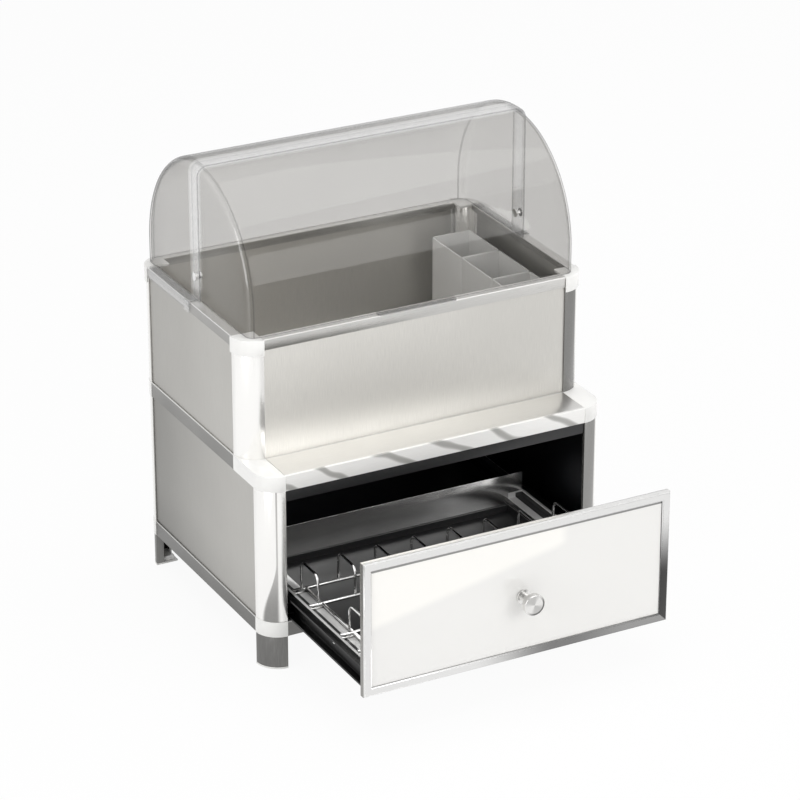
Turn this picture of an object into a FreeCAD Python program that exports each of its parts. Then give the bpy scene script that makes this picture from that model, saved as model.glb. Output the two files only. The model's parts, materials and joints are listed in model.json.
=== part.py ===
"""Dish storage cabinet: a lidded plate tank above a bowl drawer, on an aluminium corner frame.

The origin is the middle of the footprint on the floor. X runs to the right, Y to the back, Z up, in mm.
At rest the front lid is shut and the drawer stands pulled out by drawer_out.
"""
import FreeCAD, Part
import math
import os

import Sketcher

SIZES = [
    ("width", "420", "outer width of both tiers"),
    ("depth", "314", "outer depth of the lower tier"),
    ("tier_setback", "48", "upper tier's front face behind the lower tier's"),
    ("post_size", "26", "corner post width, also its outer radius"),
    ("profile_wall", "1.6", "outer wall of the posts and rails"),
    ("inner_wall", "1.2", "inner walls of the posts and rails"),
    ("slot_depth", "5", "depth of the panel slots"),
    ("rail_depth", "11", "rail thickness seen from above"),
    ("panel_sheet", "0.9", "panel thickness"),
    ("panel_play", "0.15", "panel to slot wall"),
    ("panel_end_play", "0.5", "panel edge to slot bottom"),
    ("foot_height", "39", "floor to base connector"),
    ("foot_wall", "3", "wall of a foot"),
    ("foot_return", "6", "inward turn at each end of the foot wall"),
    ("pad_thickness", "2", "white pad under a foot"),
    ("pad_proud", "0.5", "pad outside the foot"),
    ("pad_plug", "5", "pad plug inside the foot"),
    ("plug_play", "0.2", "clearance round plugs and tenons"),
    ("base_band", "18", "height of the base rails and connectors"),
    ("opening_height", "156", "base rails to ledge rails"),
    ("ledge_band", "18", "height of the ledge rails and connectors"),
    ("tank_height", "139", "ledge top to rim top"),
    ("rim_band", "12.5", "height of the rim rails"),
    ("connector_proud", "0.6", "connectors outside the posts"),
    ("connector_wall", "3", "wall of the hollow connectors"),
    ("tenon_length", "12", "connector tenon inside a rail"),
    ("cap_proud", "2", "rim caps outside the posts"),
    ("cap_height", "18", "height of a rim cap"),
    ("cap_top", "3", "top plate of a rim cap"),
    ("ledge_sheet", "1", "ledge plate thickness"),
    ("ledge_lip", "3", "front lip that the ledge plate lies behind"),
    ("ledge_turn", "12", "turned-down rear edge of the ledge plate"),
    ("floor_sheet", "1", "tank floor and base panel thickness"),
    ("fit_gap", "0.3", "clearance between neighbouring pieces"),
    ("strip_height", "13", "black stop strip under the front ledge rail"),
    ("strip_depth", "6", "stop strip from front to back"),
    ("strip_inset", "1.5", "stop strip behind the frame's face"),
    ("lid_front_inset", "3", "lid behind the upper tier's front face"),
    ("lid_side_inset", "8.4", "lid inside the tier's side faces"),
    ("lid_skirt", "27", "rim to the lid's hinge axis"),
    ("lid_wall", "2", "lid shell thickness"),
    ("lid_nest", "0.8", "gap between the nested lid shells"),
    ("lid_edge", "8", "outer bevel between the lid's side and its curve"),
    ("lid_overlap", "10.5", "each shell past the hinge axis"),
    ("flange_sheet", "1.8", "rear lid flange thickness"),
    ("flange_drop", "9", "rear lid flange down the rim rail"),
    ("flange_front", "4", "rear lid flange ahead of the hinge axis"),
    ("flange_back", "105", "rear lid flange behind the hinge axis"),
    ("tab_length", "13", "deeper tab at the flange's front end"),
    ("tab_drop", "12.5", "tab down the rim rail"),
    ("pin_radius", "2.5", "hinge pin shank radius"),
    ("pin_play", "0.08", "radial clearance of the front lid on its pins"),
    ("pin_bore_play", "0.2", "radial clearance of the rear lid on the pins"),
    ("pin_head", "5", "hinge pin head radius"),
    ("pin_head_height", "1.5", "hinge pin head thickness"),
    ("lip_length", "95", "finger lip on the front lid"),
    ("lip_reach", "9", "finger lip forwards of the lid"),
    ("lip_sheet", "2.4", "finger lip thickness"),
    ("lip_corner", "4", "finger lip's corner rounding"),
    ("drawer_out", "170.6", "how far the drawer stands open at rest"),
    ("front_thickness", "8", "drawer front from face to back"),
    ("front_gap", "1", "shut drawer front to the frame's face"),
    ("front_lap", "0.5", "drawer front past the opening at each side"),
    ("front_overlap", "5.7", "drawer front over the base rail"),
    ("front_head_gap", "6.6", "drawer front to the front ledge rail"),
    ("frame_face", "10", "face width of the drawer front's frame"),
    ("frame_bevel", "1.4", "bevel along both edges of the frame's face"),
    ("panel_recess", "2", "white panel behind the frame's face"),
    ("front_sheet", "4", "white panel thickness"),
    ("panel_tongue", "3", "white panel's edge inside the frame"),
    ("knob_side", "6", "knob right of the middle"),
    ("knob_low", "5", "knob below the middle"),
    ("knob_foot_radius", "8.5", "knob foot radius"),
    ("knob_foot_height", "2.5", "knob foot thickness"),
    ("knob_neck_radius", "4.6", "knob neck radius"),
    ("knob_head_radius", "12", "knob head radius"),
    ("knob_head_height", "7", "knob head thickness"),
    ("knob_reach", "25", "knob from the panel"),
    ("knob_edge", "1.5", "knob edge bevel"),
    ("slide_length", "290", "drawer slide members"),
    ("slide_sheet", "1.2", "drawer slide sheet"),
    ("slide_inset", "2", "fixed slide member behind the frame's face"),
    ("slide_above_base", "14.5", "slide centre above the base rails"),
    ("slide_space", "12", "post face to the drawer's side"),
    ("fixed_half", "7", "half height of the fixed member"),
    ("fixed_reach", "9", "fixed member from its web's back to its flange ends"),
    ("channel_reach", "10", "drawer channel from its web's back to its flange ends"),
    ("race_lip", "1.2", "lip that keeps the balls in their race"),
    ("ball_radius", "1.85", "ball radius"),
    ("ball_play", "0.05", "ball to race"),
    ("ball_pitch", "28", "ball to ball"),
    ("race_balls", "3", "balls in each race"),
    ("cage_length", "76", "ball cage length"),
    ("cage_sheet", "0.6", "ball cage sheet"),
    ("bracket_reach", "20", "slide bracket along the fixed member"),
    ("tray_sheet", "0.8", "drawer tray sheet"),
    ("tray_lip", "2", "tray lip over the slide channel"),
    ("tray_length", "286", "tray from front to back"),
    ("tray_ledge", "17.5", "polished ledge along the tray's sides"),
    ("tray_ledge_low", "5.5", "ledge below the slide channel's top"),
    ("tray_drop", "16", "tray floor below the ledge"),
    ("tray_back", "30", "tray's back wall above its ledge"),
    ("tray_front", "22", "tray's front wall above its ledge"),
    ("pan_wall", "1.5", "drip pan wall"),
    ("pan_height", "9", "drip pan height"),
    ("rod_radius", "2", "rack rods"),
    ("loop_radius", "1.5", "rack loop wire"),
    ("loop_bend", "9", "height and width of a rack loop's corners"),
    ("weld_gap", "0.05", "loop ends above the rods that carry them"),
    ("plate_slots", "13", "plates in the rack"),
    ("plate_loop_half", "22", "half width of a plate loop"),
    ("plate_loop_height", "62", "plate loop above the rods"),
    ("plate_rod_height", "14", "plate rack rods above the tank floor"),
    ("plate_rack_side", "22", "first plate loop inside the tier's left face"),
    ("bowl_rack_play", "2.7", "bowl rack to the tray's side walls"),
    ("bowl_slots", "7", "bowls in a row"),
    ("bowl_row_front", "57", "front row's middle behind the drawer front"),
    ("bowl_row_step", "114", "row to row"),
    ("bowl_loop_half", "20", "half width of a bowl loop"),
    ("bowl_loop_height", "34", "bowl loop above the rods"),
    ("bowl_rod_height", "3", "bowl rack rods above the ledge"),
    ("bowl_foot", "11", "bowl rack rods past the last loop"),
    ("foot_wire", "1.2", "bowl rack foot wire radius"),
    ("foot_half", "4", "half width of a bowl rack foot"),
    ("foot_long", "16", "bowl rack foot from the rods' ends inwards"),
    ("rack_gap", "9", "plate rack to utensil cups"),
    ("cups", "3", "utensil cups in a row from front to back"),
    ("cup_width", "50", "utensil cup from left to right"),
    ("cup_height", "112", "utensil cup height"),
    ("cup_inset", "14", "utensil cups inside the tier's right face"),
    ("cup_gap", "0.3", "cup to cup"),
    ("cup_end_gap", "0.5", "outermost cups to the corner connectors"),
    ("cup_wall", "1.6", "utensil cup wall"),
    ("cup_edge", "4", "utensil cup's upright edge rounding"),
    ("drain_width", "4", "drain slot width in a utensil cup"),
    ("drain_slots", "2", "drain slots in each cup"),
    ("drain_edge", "8", "drain slot ends from the cup's sides"),
]

doc = FreeCAD.newDocument("DishCabinet")
sheet = doc.addObject("Spreadsheet::Sheet", "Sizes")
for line, (alias, number, note) in enumerate(SIZES, start=1):
    sheet.set(f"A{line}", note)
    sheet.set(f"B{line}", number)
    sheet.setAlias(f"B{line}", alias)
doc.recompute()

HALF_WIDTH = "(Sizes.width / 2)"
HALF_DEPTH = "(Sizes.depth / 2)"
UPPER_FRONT = "(Sizes.tier_setback - Sizes.depth / 2)"
OPENING_HALF = "(Sizes.width / 2 - Sizes.post_size)"
BASE_TOP = "(Sizes.foot_height + Sizes.base_band)"
LEDGE_LOW = f"({BASE_TOP} + Sizes.opening_height)"
LEDGE_TOP = f"({LEDGE_LOW} + Sizes.ledge_band)"
RIM_TOP = f"({LEDGE_TOP} + Sizes.tank_height)"
RIM_LOW = f"({RIM_TOP} - Sizes.rim_band)"
BASE_SHOULDER = "(Sizes.base_band - Sizes.slot_depth)"
LEDGE_SHOULDER = "(Sizes.ledge_band - Sizes.slot_depth)"
LOWER_RUN = "(Sizes.depth - 2 * Sizes.post_size)"
UPPER_RUN = "(Sizes.depth - Sizes.tier_setback - 2 * Sizes.post_size)"
CROSS_RUN = "(Sizes.width - 2 * Sizes.post_size)"
SLOT_IN = "(Sizes.profile_wall + Sizes.panel_sheet + 2 * Sizes.panel_play)"
LIP_IN = f"({SLOT_IN} + Sizes.inner_wall)"
TANK_MIDDLE = "(Sizes.tier_setback / 2)"
LID_RADIUS = "((Sizes.depth - Sizes.tier_setback) / 2 - Sizes.lid_front_inset)"
LID_HALF = "(Sizes.width / 2 - Sizes.lid_side_inset)"
LID_STEP = "(Sizes.lid_wall + Sizes.lid_nest)"
LID_LOW = "(Sizes.fit_gap - Sizes.lid_skirt)"
LID_AXIS = f"({RIM_TOP} + Sizes.lid_skirt)"
FLOOR_LOW = f"({LEDGE_TOP} - Sizes.slot_depth)"
FLOOR_TOP = f"({FLOOR_LOW} + Sizes.floor_sheet)"
SLIDE_Z = f"({BASE_TOP} + Sizes.slide_above_base)"
DRAWER_SIDE = f"({OPENING_HALF} - Sizes.slide_space)"
RACE_GAP = "(2 * Sizes.ball_radius + 2 * Sizes.ball_play)"
RACE_Z = "(Sizes.fixed_half + Sizes.ball_radius + Sizes.ball_play)"
CHANNEL_HALF = f"(Sizes.fixed_half + {RACE_GAP} + Sizes.slide_sheet)"
DRAWER_BACK_PLANE = f"(-{HALF_DEPTH} - Sizes.front_gap - Sizes.drawer_out)"
CHANNEL_START = f"({DRAWER_BACK_PLANE} + Sizes.tray_sheet)"
DRAWER_FACE = f"({DRAWER_BACK_PLANE} - Sizes.front_thickness)"
FRONT_LOW = f"({BASE_TOP} - Sizes.front_overlap)"
FRONT_HEIGHT = "(Sizes.opening_height + Sizes.front_overlap - Sizes.front_head_gap)"
FRONT_HALF = f"({OPENING_HALF} + Sizes.front_lap)"
TRAY_LEDGE = f"({SLIDE_Z} + {CHANNEL_HALF} - Sizes.tray_ledge_low)"
TRAY_FLOOR = f"({TRAY_LEDGE} - Sizes.tray_drop)"
FIXED_START = f"(Sizes.slide_inset - {HALF_DEPTH})"
CAGE_WEB = "((Sizes.slide_sheet + Sizes.slide_space - Sizes.fixed_reach) / 2)"
BALL_X = "((Sizes.slide_space + Sizes.channel_reach - Sizes.fixed_reach) / 2)"
CAGE_Y = f"(({FIXED_START} + {CHANNEL_START} + Sizes.slide_length) / 2)"
FRONT_MIDDLE = f"({FRONT_LOW} + {FRONT_HEIGHT} / 2)"
GLASS_FACE = f"({DRAWER_FACE} + Sizes.panel_recess + Sizes.panel_play)"
PLATE_START = f"(Sizes.plate_rack_side - {HALF_WIDTH})"
PLATE_RUN = "(Sizes.width - Sizes.plate_rack_side - Sizes.rack_gap - Sizes.cup_width - Sizes.cup_inset)"
BOWL_END = f"({DRAWER_SIDE} - Sizes.tray_sheet - Sizes.bowl_rack_play)"
BOWL_RUN = f"(2 * ({BOWL_END} - Sizes.bowl_foot))"
CUP_STEP = f"(({UPPER_RUN} - 2 * Sizes.cup_end_gap + Sizes.cup_gap) / Sizes.cups)"

# Corner name, X and Y side, and the turn that brings the front left corner there
CORNERS = [
    ("front_left", -1, -1, 0),
    ("front_right", 1, -1, 90),
    ("back_right", 1, 1, 180),
    ("back_left", -1, 1, 270),
]
SIDES = {"front": 0, "right": 90, "back": 180, "left": 270}
X_AXIS = FreeCAD.Vector(1, 0, 0)
Y_AXIS = FreeCAD.Vector(0, 1, 0)
Z_AXIS = FreeCAD.Vector(0, 0, 1)
nodes = []


def value(expression):
    """Number that an expression of the size sheet stands for."""
    return float(sheet.evalExpression(str(expression)))


def count(alias):
    """Whole number kept in the size sheet."""
    return round(value(f"Sizes.{alias}"))


def place(piece, x, y, z, angle=0, axis=Z_AXIS):
    """Sets a piece at the expressions x, y, z, turned by the angle."""
    spot = FreeCAD.Vector(value(x), value(y), value(z))
    piece.Placement = FreeCAD.Placement(spot, FreeCAD.Rotation(axis, angle))
    for name, expression in (("x", x), ("y", y), ("z", z)):
        piece.setExpression(f"Placement.Base.{name}", str(expression))
    return piece


def keep(piece, label):
    """Names a finished sub-part and lists it for export."""
    piece.Label = label
    nodes.append(piece)
    return piece


def group(name, pieces):
    """Joins equal pieces into one sub-part; each stays a solid of its own."""
    whole = doc.addObject("Part::Compound", name)
    whole.Links = pieces
    doc.recompute()
    return whole


def new_body(name):
    """Empty body."""
    return doc.addObject("PartDesign::Body", name)


def origin_feature(body, role):
    """One of the body's own origin planes or axes."""
    return [f for f in body.Origin.OriginFeatures if f.Role == role][0]


def new_sketch(body, name, plane="XY_Plane", offset="0"):
    """Sketch on one of the body's own origin planes, shifted along the plane's normal."""
    sketch = body.newObject("Sketcher::SketchObject", f"{body.Name}_{name}")
    sketch.AttachmentSupport = [(origin_feature(body, plane), "")]
    sketch.MapMode = "FlatFace"
    sketch.setExpression("AttachmentOffset.Base.z", str(offset))
    return sketch


def bind(sketch, kind, geometry, point, expression):
    """Ties one coordinate of a sketch point to an expression."""
    sketch.addConstraint(Sketcher.Constraint(kind, -1, 1, geometry, point, value(expression)))
    sketch.setExpression(f"Constraints[{sketch.ConstraintCount - 1}]", str(expression))


def draw_path(sketch, corners, closed=True):
    """Draws a chain of straight lines and arcs.

    A corner is (x, y) where a straight side follows it, and (x, y, centre x, centre y, turn) where an arc
    follows it; the turn is 1 for an arc that goes counter-clockwise and -1 for one that goes clockwise.
    """
    spots = [(value(c[0]), value(c[1])) for c in corners]
    first = sketch.GeometryCount
    sides = len(corners) if closed else len(corners) - 1
    ends = []
    for i in range(sides):
        corner = corners[i]
        (x0, y0), (x1, y1) = spots[i], spots[(i + 1) % len(spots)]
        if len(corner) == 2:
            sketch.addGeometry(Part.LineSegment(FreeCAD.Vector(x0, y0, 0), FreeCAD.Vector(x1, y1, 0)))
            ends.append((1, 2))
            continue
        cx, cy, turn = value(corner[2]), value(corner[3]), corner[4]
        start, stop = math.atan2(y0 - cy, x0 - cx), math.atan2(y1 - cy, x1 - cx)
        if turn < 0:
            start, stop = stop, start
        if stop <= start:
            stop += 2 * math.pi
        circle = Part.Circle(FreeCAD.Vector(cx, cy, 0), Z_AXIS, math.hypot(x0 - cx, y0 - cy))
        sketch.addGeometry(Part.ArcOfCircle(circle, start, stop))
        ends.append((1, 2) if turn > 0 else (2, 1))
    for i in range(sides):
        geometry, corner, following = first + i, corners[i], (i + 1) % len(corners)
        if closed or i < sides - 1:
            sketch.addConstraint(Sketcher.Constraint("Coincident", geometry, ends[i][1],
                                                     first + following, ends[following][0]))
        else:
            bind(sketch, "DistanceX", geometry, ends[i][1], corners[following][0])
            bind(sketch, "DistanceY", geometry, ends[i][1], corners[following][1])
        bind(sketch, "DistanceX", geometry, ends[i][0], corner[0])
        bind(sketch, "DistanceY", geometry, ends[i][0], corner[1])
        if len(corner) == 5:
            (x0, y0), (x1, y1) = spots[i], spots[following]
            steep = abs(y1 - y0) > abs(x1 - x0)
            bind(sketch, "DistanceX" if steep else "DistanceY", geometry, 3, corner[2] if steep else corner[3])


def draw_rectangle(sketch, x0, y0, x1, y1):
    """Draws a rectangle between two corners."""
    draw_path(sketch, [(x0, y0), (x1, y0), (x1, y1), (x0, y1)])


def draw_circle(sketch, x, y, radius):
    """Draws a full circle."""
    centre = FreeCAD.Vector(value(x), value(y), 0)
    geometry = sketch.addGeometry(Part.Circle(centre, Z_AXIS, value(radius)))
    bind(sketch, "DistanceX", geometry, 3, x)
    bind(sketch, "DistanceY", geometry, 3, y)
    sketch.addConstraint(Sketcher.Constraint("Radius", geometry, value(radius)))
    sketch.setExpression(f"Constraints[{sketch.ConstraintCount - 1}]", str(radius))


def draw_octagon(sketch, x, y, radius):
    """Draws an octagon as wide across its corners as a circle of the radius: a wire or a ball hole."""
    near = f"({radius} * {math.sin(math.pi / 8)})"
    far = f"({radius} * {math.cos(math.pi / 8)})"
    steps = [(far, near), (near, far), (f"-{near}", far), (f"-{far}", near), (f"-{far}", f"-{near}"),
             (f"-{near}", f"-{far}"), (near, f"-{far}"), (far, f"-{near}")]
    draw_path(sketch, [(f"{x} + {across}", f"{y} + {up}") for across, up in steps])


def flipped(corners):
    """The same outline seen in a mirror, left for right."""
    mirror = [(f"-({c[0]})", c[1]) + ((f"-({c[2]})", c[3], -c[4]) if len(c) == 5 else ()) for c in corners]
    return mirror


def pad(body, sketch, length, side="One side", back=False):
    """Pads a sketch."""
    feature = body.newObject("PartDesign::Pad", f"{sketch.Name}_pad")
    feature.Profile = sketch
    feature.setExpression("Length", str(length))
    feature.SideType = side
    feature.Reversed = back
    doc.recompute()
    return feature


def pocket(body, sketch, length=None, back=False):
    """Pockets a sketch by a length, or through everything on both sides of its plane."""
    feature = body.newObject("PartDesign::Pocket", f"{sketch.Name}_pocket")
    feature.Profile = sketch
    before = body.Shape.Volume
    if length is None:
        feature.Type = "ThroughAll"
        feature.SideType = "Symmetric"
    else:
        feature.setExpression("Length", str(length))
        feature.Reversed = back
    doc.recompute()
    if body.Shape.Volume > before - 1e-6:
        raise ValueError(f"{sketch.Name} cuts nothing")
    return feature


def revolve(body, sketch):
    """Turns a sketch about its own horizontal axis."""
    feature = body.newObject("PartDesign::Revolution", f"{sketch.Name}_turned")
    feature.Profile = sketch
    feature.ReferenceAxis = (sketch, ["H_Axis"])
    feature.Angle = 360
    doc.recompute()
    return feature


def upright(edge):
    """True for a straight edge along Z."""
    return len(edge.Vertexes) == 2 and abs(edge.Vertexes[0].Z - edge.Vertexes[1].Z) > edge.Length - 1e-6


def edges_of(base, test):
    """Names of the edges of a feature that pass a test."""
    return [f"Edge{i}" for i, edge in enumerate(base.Shape.Edges, start=1) if test(edge)]


def fillet(body, base, test, radius):
    """Rounds the edges of a feature that pass a test."""
    feature = body.newObject("PartDesign::Fillet", f"{base.Name}_fillet")
    feature.Base = (base, edges_of(base, test))
    feature.setExpression("Radius", str(radius))
    doc.recompute()
    return feature


def bevel(body, base, test, size):
    """Bevels the edges of a feature that pass a test, equally on both sides."""
    feature = body.newObject("PartDesign::Chamfer", f"{base.Name}_bevel")
    feature.Base = (base, edges_of(base, test))
    feature.setExpression("Size", str(size))
    doc.recompute()
    return feature


def repeat(body, features, axis, length, occurrences):
    """Repeats features evenly along one of the body's own axes; the length spans first to last."""
    pattern = body.newObject("PartDesign::LinearPattern", f"{features[0].Name}_row")
    pattern.Originals = features
    pattern.Direction = (origin_feature(body, axis), [""])
    pattern.setExpression("Length", str(length))
    pattern.setExpression("Occurrences", str(occurrences))
    body.Tip = pattern
    doc.recompute()
    return pattern


# Posts


def corner_post(name, length):
    """Extruded corner post: a quarter-round wall with a panel slot at each end."""
    body = new_body(name)
    size, wall = "Sizes.post_size", "Sizes.profile_wall"
    web = f"({size} - Sizes.slot_depth)"
    root = f"({web} - Sizes.inner_wall)"
    meet = f"({size} - sqrt(({size} - {wall}) ^ 2 - ({size} - {root}) ^ 2))"
    half = [(size, wall), (web, wall), (web, SLOT_IN), (size, SLOT_IN), (size, LIP_IN), (root, LIP_IN)]
    section = new_sketch(body, "section")
    draw_path(section, [("0", size, size, size, 1), (size, "0")] + half
              + [(root, meet, size, size, -1), (meet, root)] + [(y, x) for x, y in reversed(half)])
    pad(body, section, length)
    return body


def corner_spot(side_x, side_y, front=f"-{HALF_DEPTH}"):
    """Outer corner of a tier."""
    return f"{side_x} * {HALF_WIDTH}", front if side_y < 0 else HALF_DEPTH


for corner, side_x, side_y, turn in CORNERS:
    x, y = corner_spot(side_x, side_y)
    post = corner_post(f"LowerPost_{corner}", "Sizes.opening_height")
    keep(place(post, x, y, BASE_TOP, turn), f"lower_post_{corner}")
    x, y = corner_spot(side_x, side_y, UPPER_FRONT)
    post = corner_post(f"UpperPost_{corner}", "Sizes.tank_height - Sizes.cap_top")
    keep(place(post, x, y, LEDGE_TOP, turn), f"upper_post_{corner}")

# Rails


def rail_section(kind):
    """Outline of a rail and its hollow's levels; the first coordinate runs inwards, the second up."""
    depth, wall, slot = "Sizes.rail_depth", "Sizes.profile_wall", "Sizes.slot_depth"
    height = f"Sizes.{kind.split('_')[0]}_band"
    shoulder = f"({height} - {slot})"
    low_slot = [(wall, "0"), (wall, slot), (SLOT_IN, slot), (SLOT_IN, "0"), (LIP_IN, "0"), (LIP_IN, slot)]
    high_slot = [(LIP_IN, shoulder), (LIP_IN, height), (SLOT_IN, height), (SLOT_IN, shoulder),
                 (wall, shoulder), (wall, height)]
    if kind == "base_front":
        lip = [(LIP_IN, shoulder), (LIP_IN, height)]
        return [("0", "0"), (depth, "0"), (depth, shoulder)] + lip + [("0", height)], "0", shoulder
    if kind == "ledge_front":
        step, lip = f"({height} - Sizes.ledge_sheet)", "Sizes.ledge_lip"
        return [("0", "0"), (depth, "0"), (depth, step), (lip, step), (lip, height), ("0", height)], "0", step
    if kind in ("base_slot", "ledge_sill"):
        return [("0", "0"), (depth, "0"), (depth, shoulder)] + high_slot + [("0", height)], "0", shoulder
    if kind == "rim":
        return [("0", "0")] + low_slot + [(depth, slot), (depth, height), ("0", height)], slot, height
    both = [("0", "0")] + low_slot + [(depth, slot), (depth, shoulder)] + high_slot + [("0", height)]
    return both, slot, shoulder


def rail(name, kind, length):
    """Hollow extruded rail along X with its outer face at Y zero."""
    body = new_body(name)
    corners, low, high = rail_section(kind)
    wall = "Sizes.inner_wall"
    section = new_sketch(body, "section", "YZ_Plane")
    draw_path(section, corners)
    draw_rectangle(section, wall, f"{low} + {wall}", f"Sizes.rail_depth - {wall}", f"{high} - {wall}")
    pad(body, section, length)
    return body


def side_spot(side, front=f"-{HALF_DEPTH}"):
    """Start of a side's run between its posts, for a piece turned to face outwards."""
    return {
        "front": (f"-{OPENING_HALF}", front),
        "right": (HALF_WIDTH, f"{front} + Sizes.post_size"),
        "back": (OPENING_HALF, HALF_DEPTH),
        "left": (f"-{HALF_WIDTH}", f"{HALF_DEPTH} - Sizes.post_size"),
    }[side]


for side, turn in SIDES.items():
    across = side in ("front", "back")
    x, y = side_spot(side)
    base_rail = rail(f"BaseRail_{side}", "base_front" if side == "front" else "base_slot",
                     CROSS_RUN if across else LOWER_RUN)
    keep(place(base_rail, x, y, "Sizes.foot_height", turn), f"base_rail_{side}")
    x, y = side_spot(side, UPPER_FRONT)
    rim_rail = rail(f"RimRail_{side}", "rim", CROSS_RUN if across else UPPER_RUN)
    keep(place(rim_rail, x, y, RIM_LOW, turn), f"rim_rail_{side}")
    if side != "front":
        ledge_rail = rail(f"LedgeRail_{side}", "ledge", CROSS_RUN if across else UPPER_RUN)
        keep(place(ledge_rail, x, y, LEDGE_LOW, turn), f"ledge_rail_{side}")
for name, kind, front in (("front", "ledge_front", f"-{HALF_DEPTH}"), ("middle", "ledge_sill", UPPER_FRONT)):
    ledge_rail = rail(f"LedgeRail_{name}", kind, CROSS_RUN)
    keep(place(ledge_rail, f"-{OPENING_HALF}", front, LEDGE_LOW), f"ledge_rail_{name}")

# Panels


def panel(name, run, rise, left_cut="0", right_cut="0"):
    """Sheet that enters the slots round an opening, its corners cut back round the connectors."""
    body = new_body(name)
    gap, into = "Sizes.fit_gap", "(Sizes.slot_depth - Sizes.panel_end_play)"
    left, right = f"({gap} + {left_cut})", f"({run} - {gap} - {right_cut})"
    shoulder, top = f"({rise} - {gap})", f"({rise} + {into})"
    face = new_sketch(body, "face", "XZ_Plane", "-(Sizes.profile_wall + Sizes.panel_play)")
    draw_path(face, [
        (f"-{into}", gap), (gap, gap), (gap, f"-{into}"), (f"{run} - {gap}", f"-{into}"),
        (f"{run} - {gap}", gap), (f"{run} + {into}", gap), (f"{run} + {into}", shoulder),
        (right, shoulder), (right, top), (left, top), (left, shoulder), (f"-{into}", shoulder),
    ])
    pad(body, face, "Sizes.panel_sheet", back=True)
    return body


for side, turn in SIDES.items():
    across = side in ("front", "back")
    if side != "front":
        x, y = side_spot(side)
        cuts = {"right": ("Sizes.tier_setback", "0"), "left": ("0", "Sizes.tier_setback")}.get(side, ("0", "0"))
        plate = panel(f"LowerPanel_{side}", CROSS_RUN if across else LOWER_RUN, "Sizes.opening_height", *cuts)
        keep(place(plate, x, y, BASE_TOP, turn), f"lower_panel_{side}")
    x, y = side_spot(side, UPPER_FRONT)
    plate = panel(f"UpperPanel_{side}", CROSS_RUN if across else UPPER_RUN,
                  "(Sizes.tank_height - Sizes.rim_band)")
    keep(place(plate, x, y, LEDGE_TOP, turn), f"upper_panel_{side}")

# Feet, connectors and caps


def quarter_plan(low, high):
    """Plan of a corner region: inner sides at high, an arc at low that is concentric with the post."""
    size = "Sizes.post_size"
    meet = f"({size} - sqrt(({size} - ({low})) ^ 2 - ({size} - {high}) ^ 2))"
    return [(high, meet), (high, high), (meet, high, size, size, 1)]


def add_tenons(body, low, high):
    """Adds a tenon for each rail, filling the rail's hollow between its two levels."""
    play = "(Sizes.inner_wall + Sizes.plug_play)"
    bounds = (play, f"{low} + {play}", f"Sizes.rail_depth - {play}", f"{high} - {play}")
    along_x = new_sketch(body, "tenon_x", "YZ_Plane", "Sizes.post_size")
    draw_rectangle(along_x, *bounds)
    pad(body, along_x, "Sizes.tenon_length")
    along_y = new_sketch(body, "tenon_y", "XZ_Plane", "-Sizes.post_size")
    draw_rectangle(along_y, *bounds)
    pad(body, along_y, "Sizes.tenon_length", back=True)


def corner_block(name, height, low, high):
    """Corner connector, hollow from below, with a tenon for each of its two rails."""
    body = new_body(name)
    plan = new_sketch(body, "plan")
    draw_path(plan, quarter_plan("-Sizes.connector_proud", "Sizes.post_size"))
    pad(body, plan, height)
    hollow = new_sketch(body, "hollow")
    draw_path(hollow, quarter_plan("(Sizes.connector_wall - Sizes.connector_proud)",
                                   "(Sizes.post_size - Sizes.connector_wall)"))
    pocket(body, hollow, f"{height} - Sizes.connector_wall", back=True)
    add_tenons(body, low, high)
    return body


def step_block(name, side):
    """Connector that also carries the upper front post behind the lower one; side is -1 left, 1 right."""
    body = new_body(name)
    size, proud, wall = "Sizes.post_size", "Sizes.connector_proud", "Sizes.connector_wall"
    rear, inset = f"(Sizes.tier_setback + {size})", f"({wall} - {proud})"
    meet = f"({size} - sqrt(({size} - {inset}) ^ 2 - {wall} ^ 2))"
    outer = [(size, f"-{proud}"), (size, rear), (f"-{proud}", rear), (f"-{proud}", size, size, size, 1)]
    inner = [(f"({size} - {wall})", meet), (f"({size} - {wall})", f"{rear} - {wall}"),
             (inset, f"{rear} - {wall}"), (inset, size, size, size, 1)]
    plan = new_sketch(body, "plan")
    draw_path(plan, flipped(outer) if side > 0 else outer)
    pad(body, plan, "Sizes.ledge_band")
    hollow = new_sketch(body, "hollow")
    draw_path(hollow, flipped(inner) if side > 0 else inner)
    pocket(body, hollow, f"Sizes.ledge_band - {wall}", back=True)
    play = "(Sizes.inner_wall + Sizes.plug_play)"
    far = f"(Sizes.rail_depth - {play})"
    tops = {"front": ("0", "(Sizes.ledge_band - Sizes.ledge_sheet)"),
            "middle": ("Sizes.tier_setback", LEDGE_SHOULDER)}
    for name, (shift, high) in tops.items():
        tenon = new_sketch(body, f"tenon_{name}", "YZ_Plane", f"-{size}" if side > 0 else size)
        draw_rectangle(tenon, f"{shift} + {play}", play, f"{shift} + {far}", f"{high} - {play}")
        pad(body, tenon, "Sizes.tenon_length", back=side > 0)
    tenon = new_sketch(body, "tenon_side", "XZ_Plane", f"-{rear}")
    edges = (f"-{far}", f"-{play}") if side > 0 else (play, far)
    draw_rectangle(tenon, edges[0], f"Sizes.slot_depth + {play}", edges[1], f"{LEDGE_SHOULDER} - {play}")
    pad(body, tenon, "Sizes.tenon_length", back=True)
    return body


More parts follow.
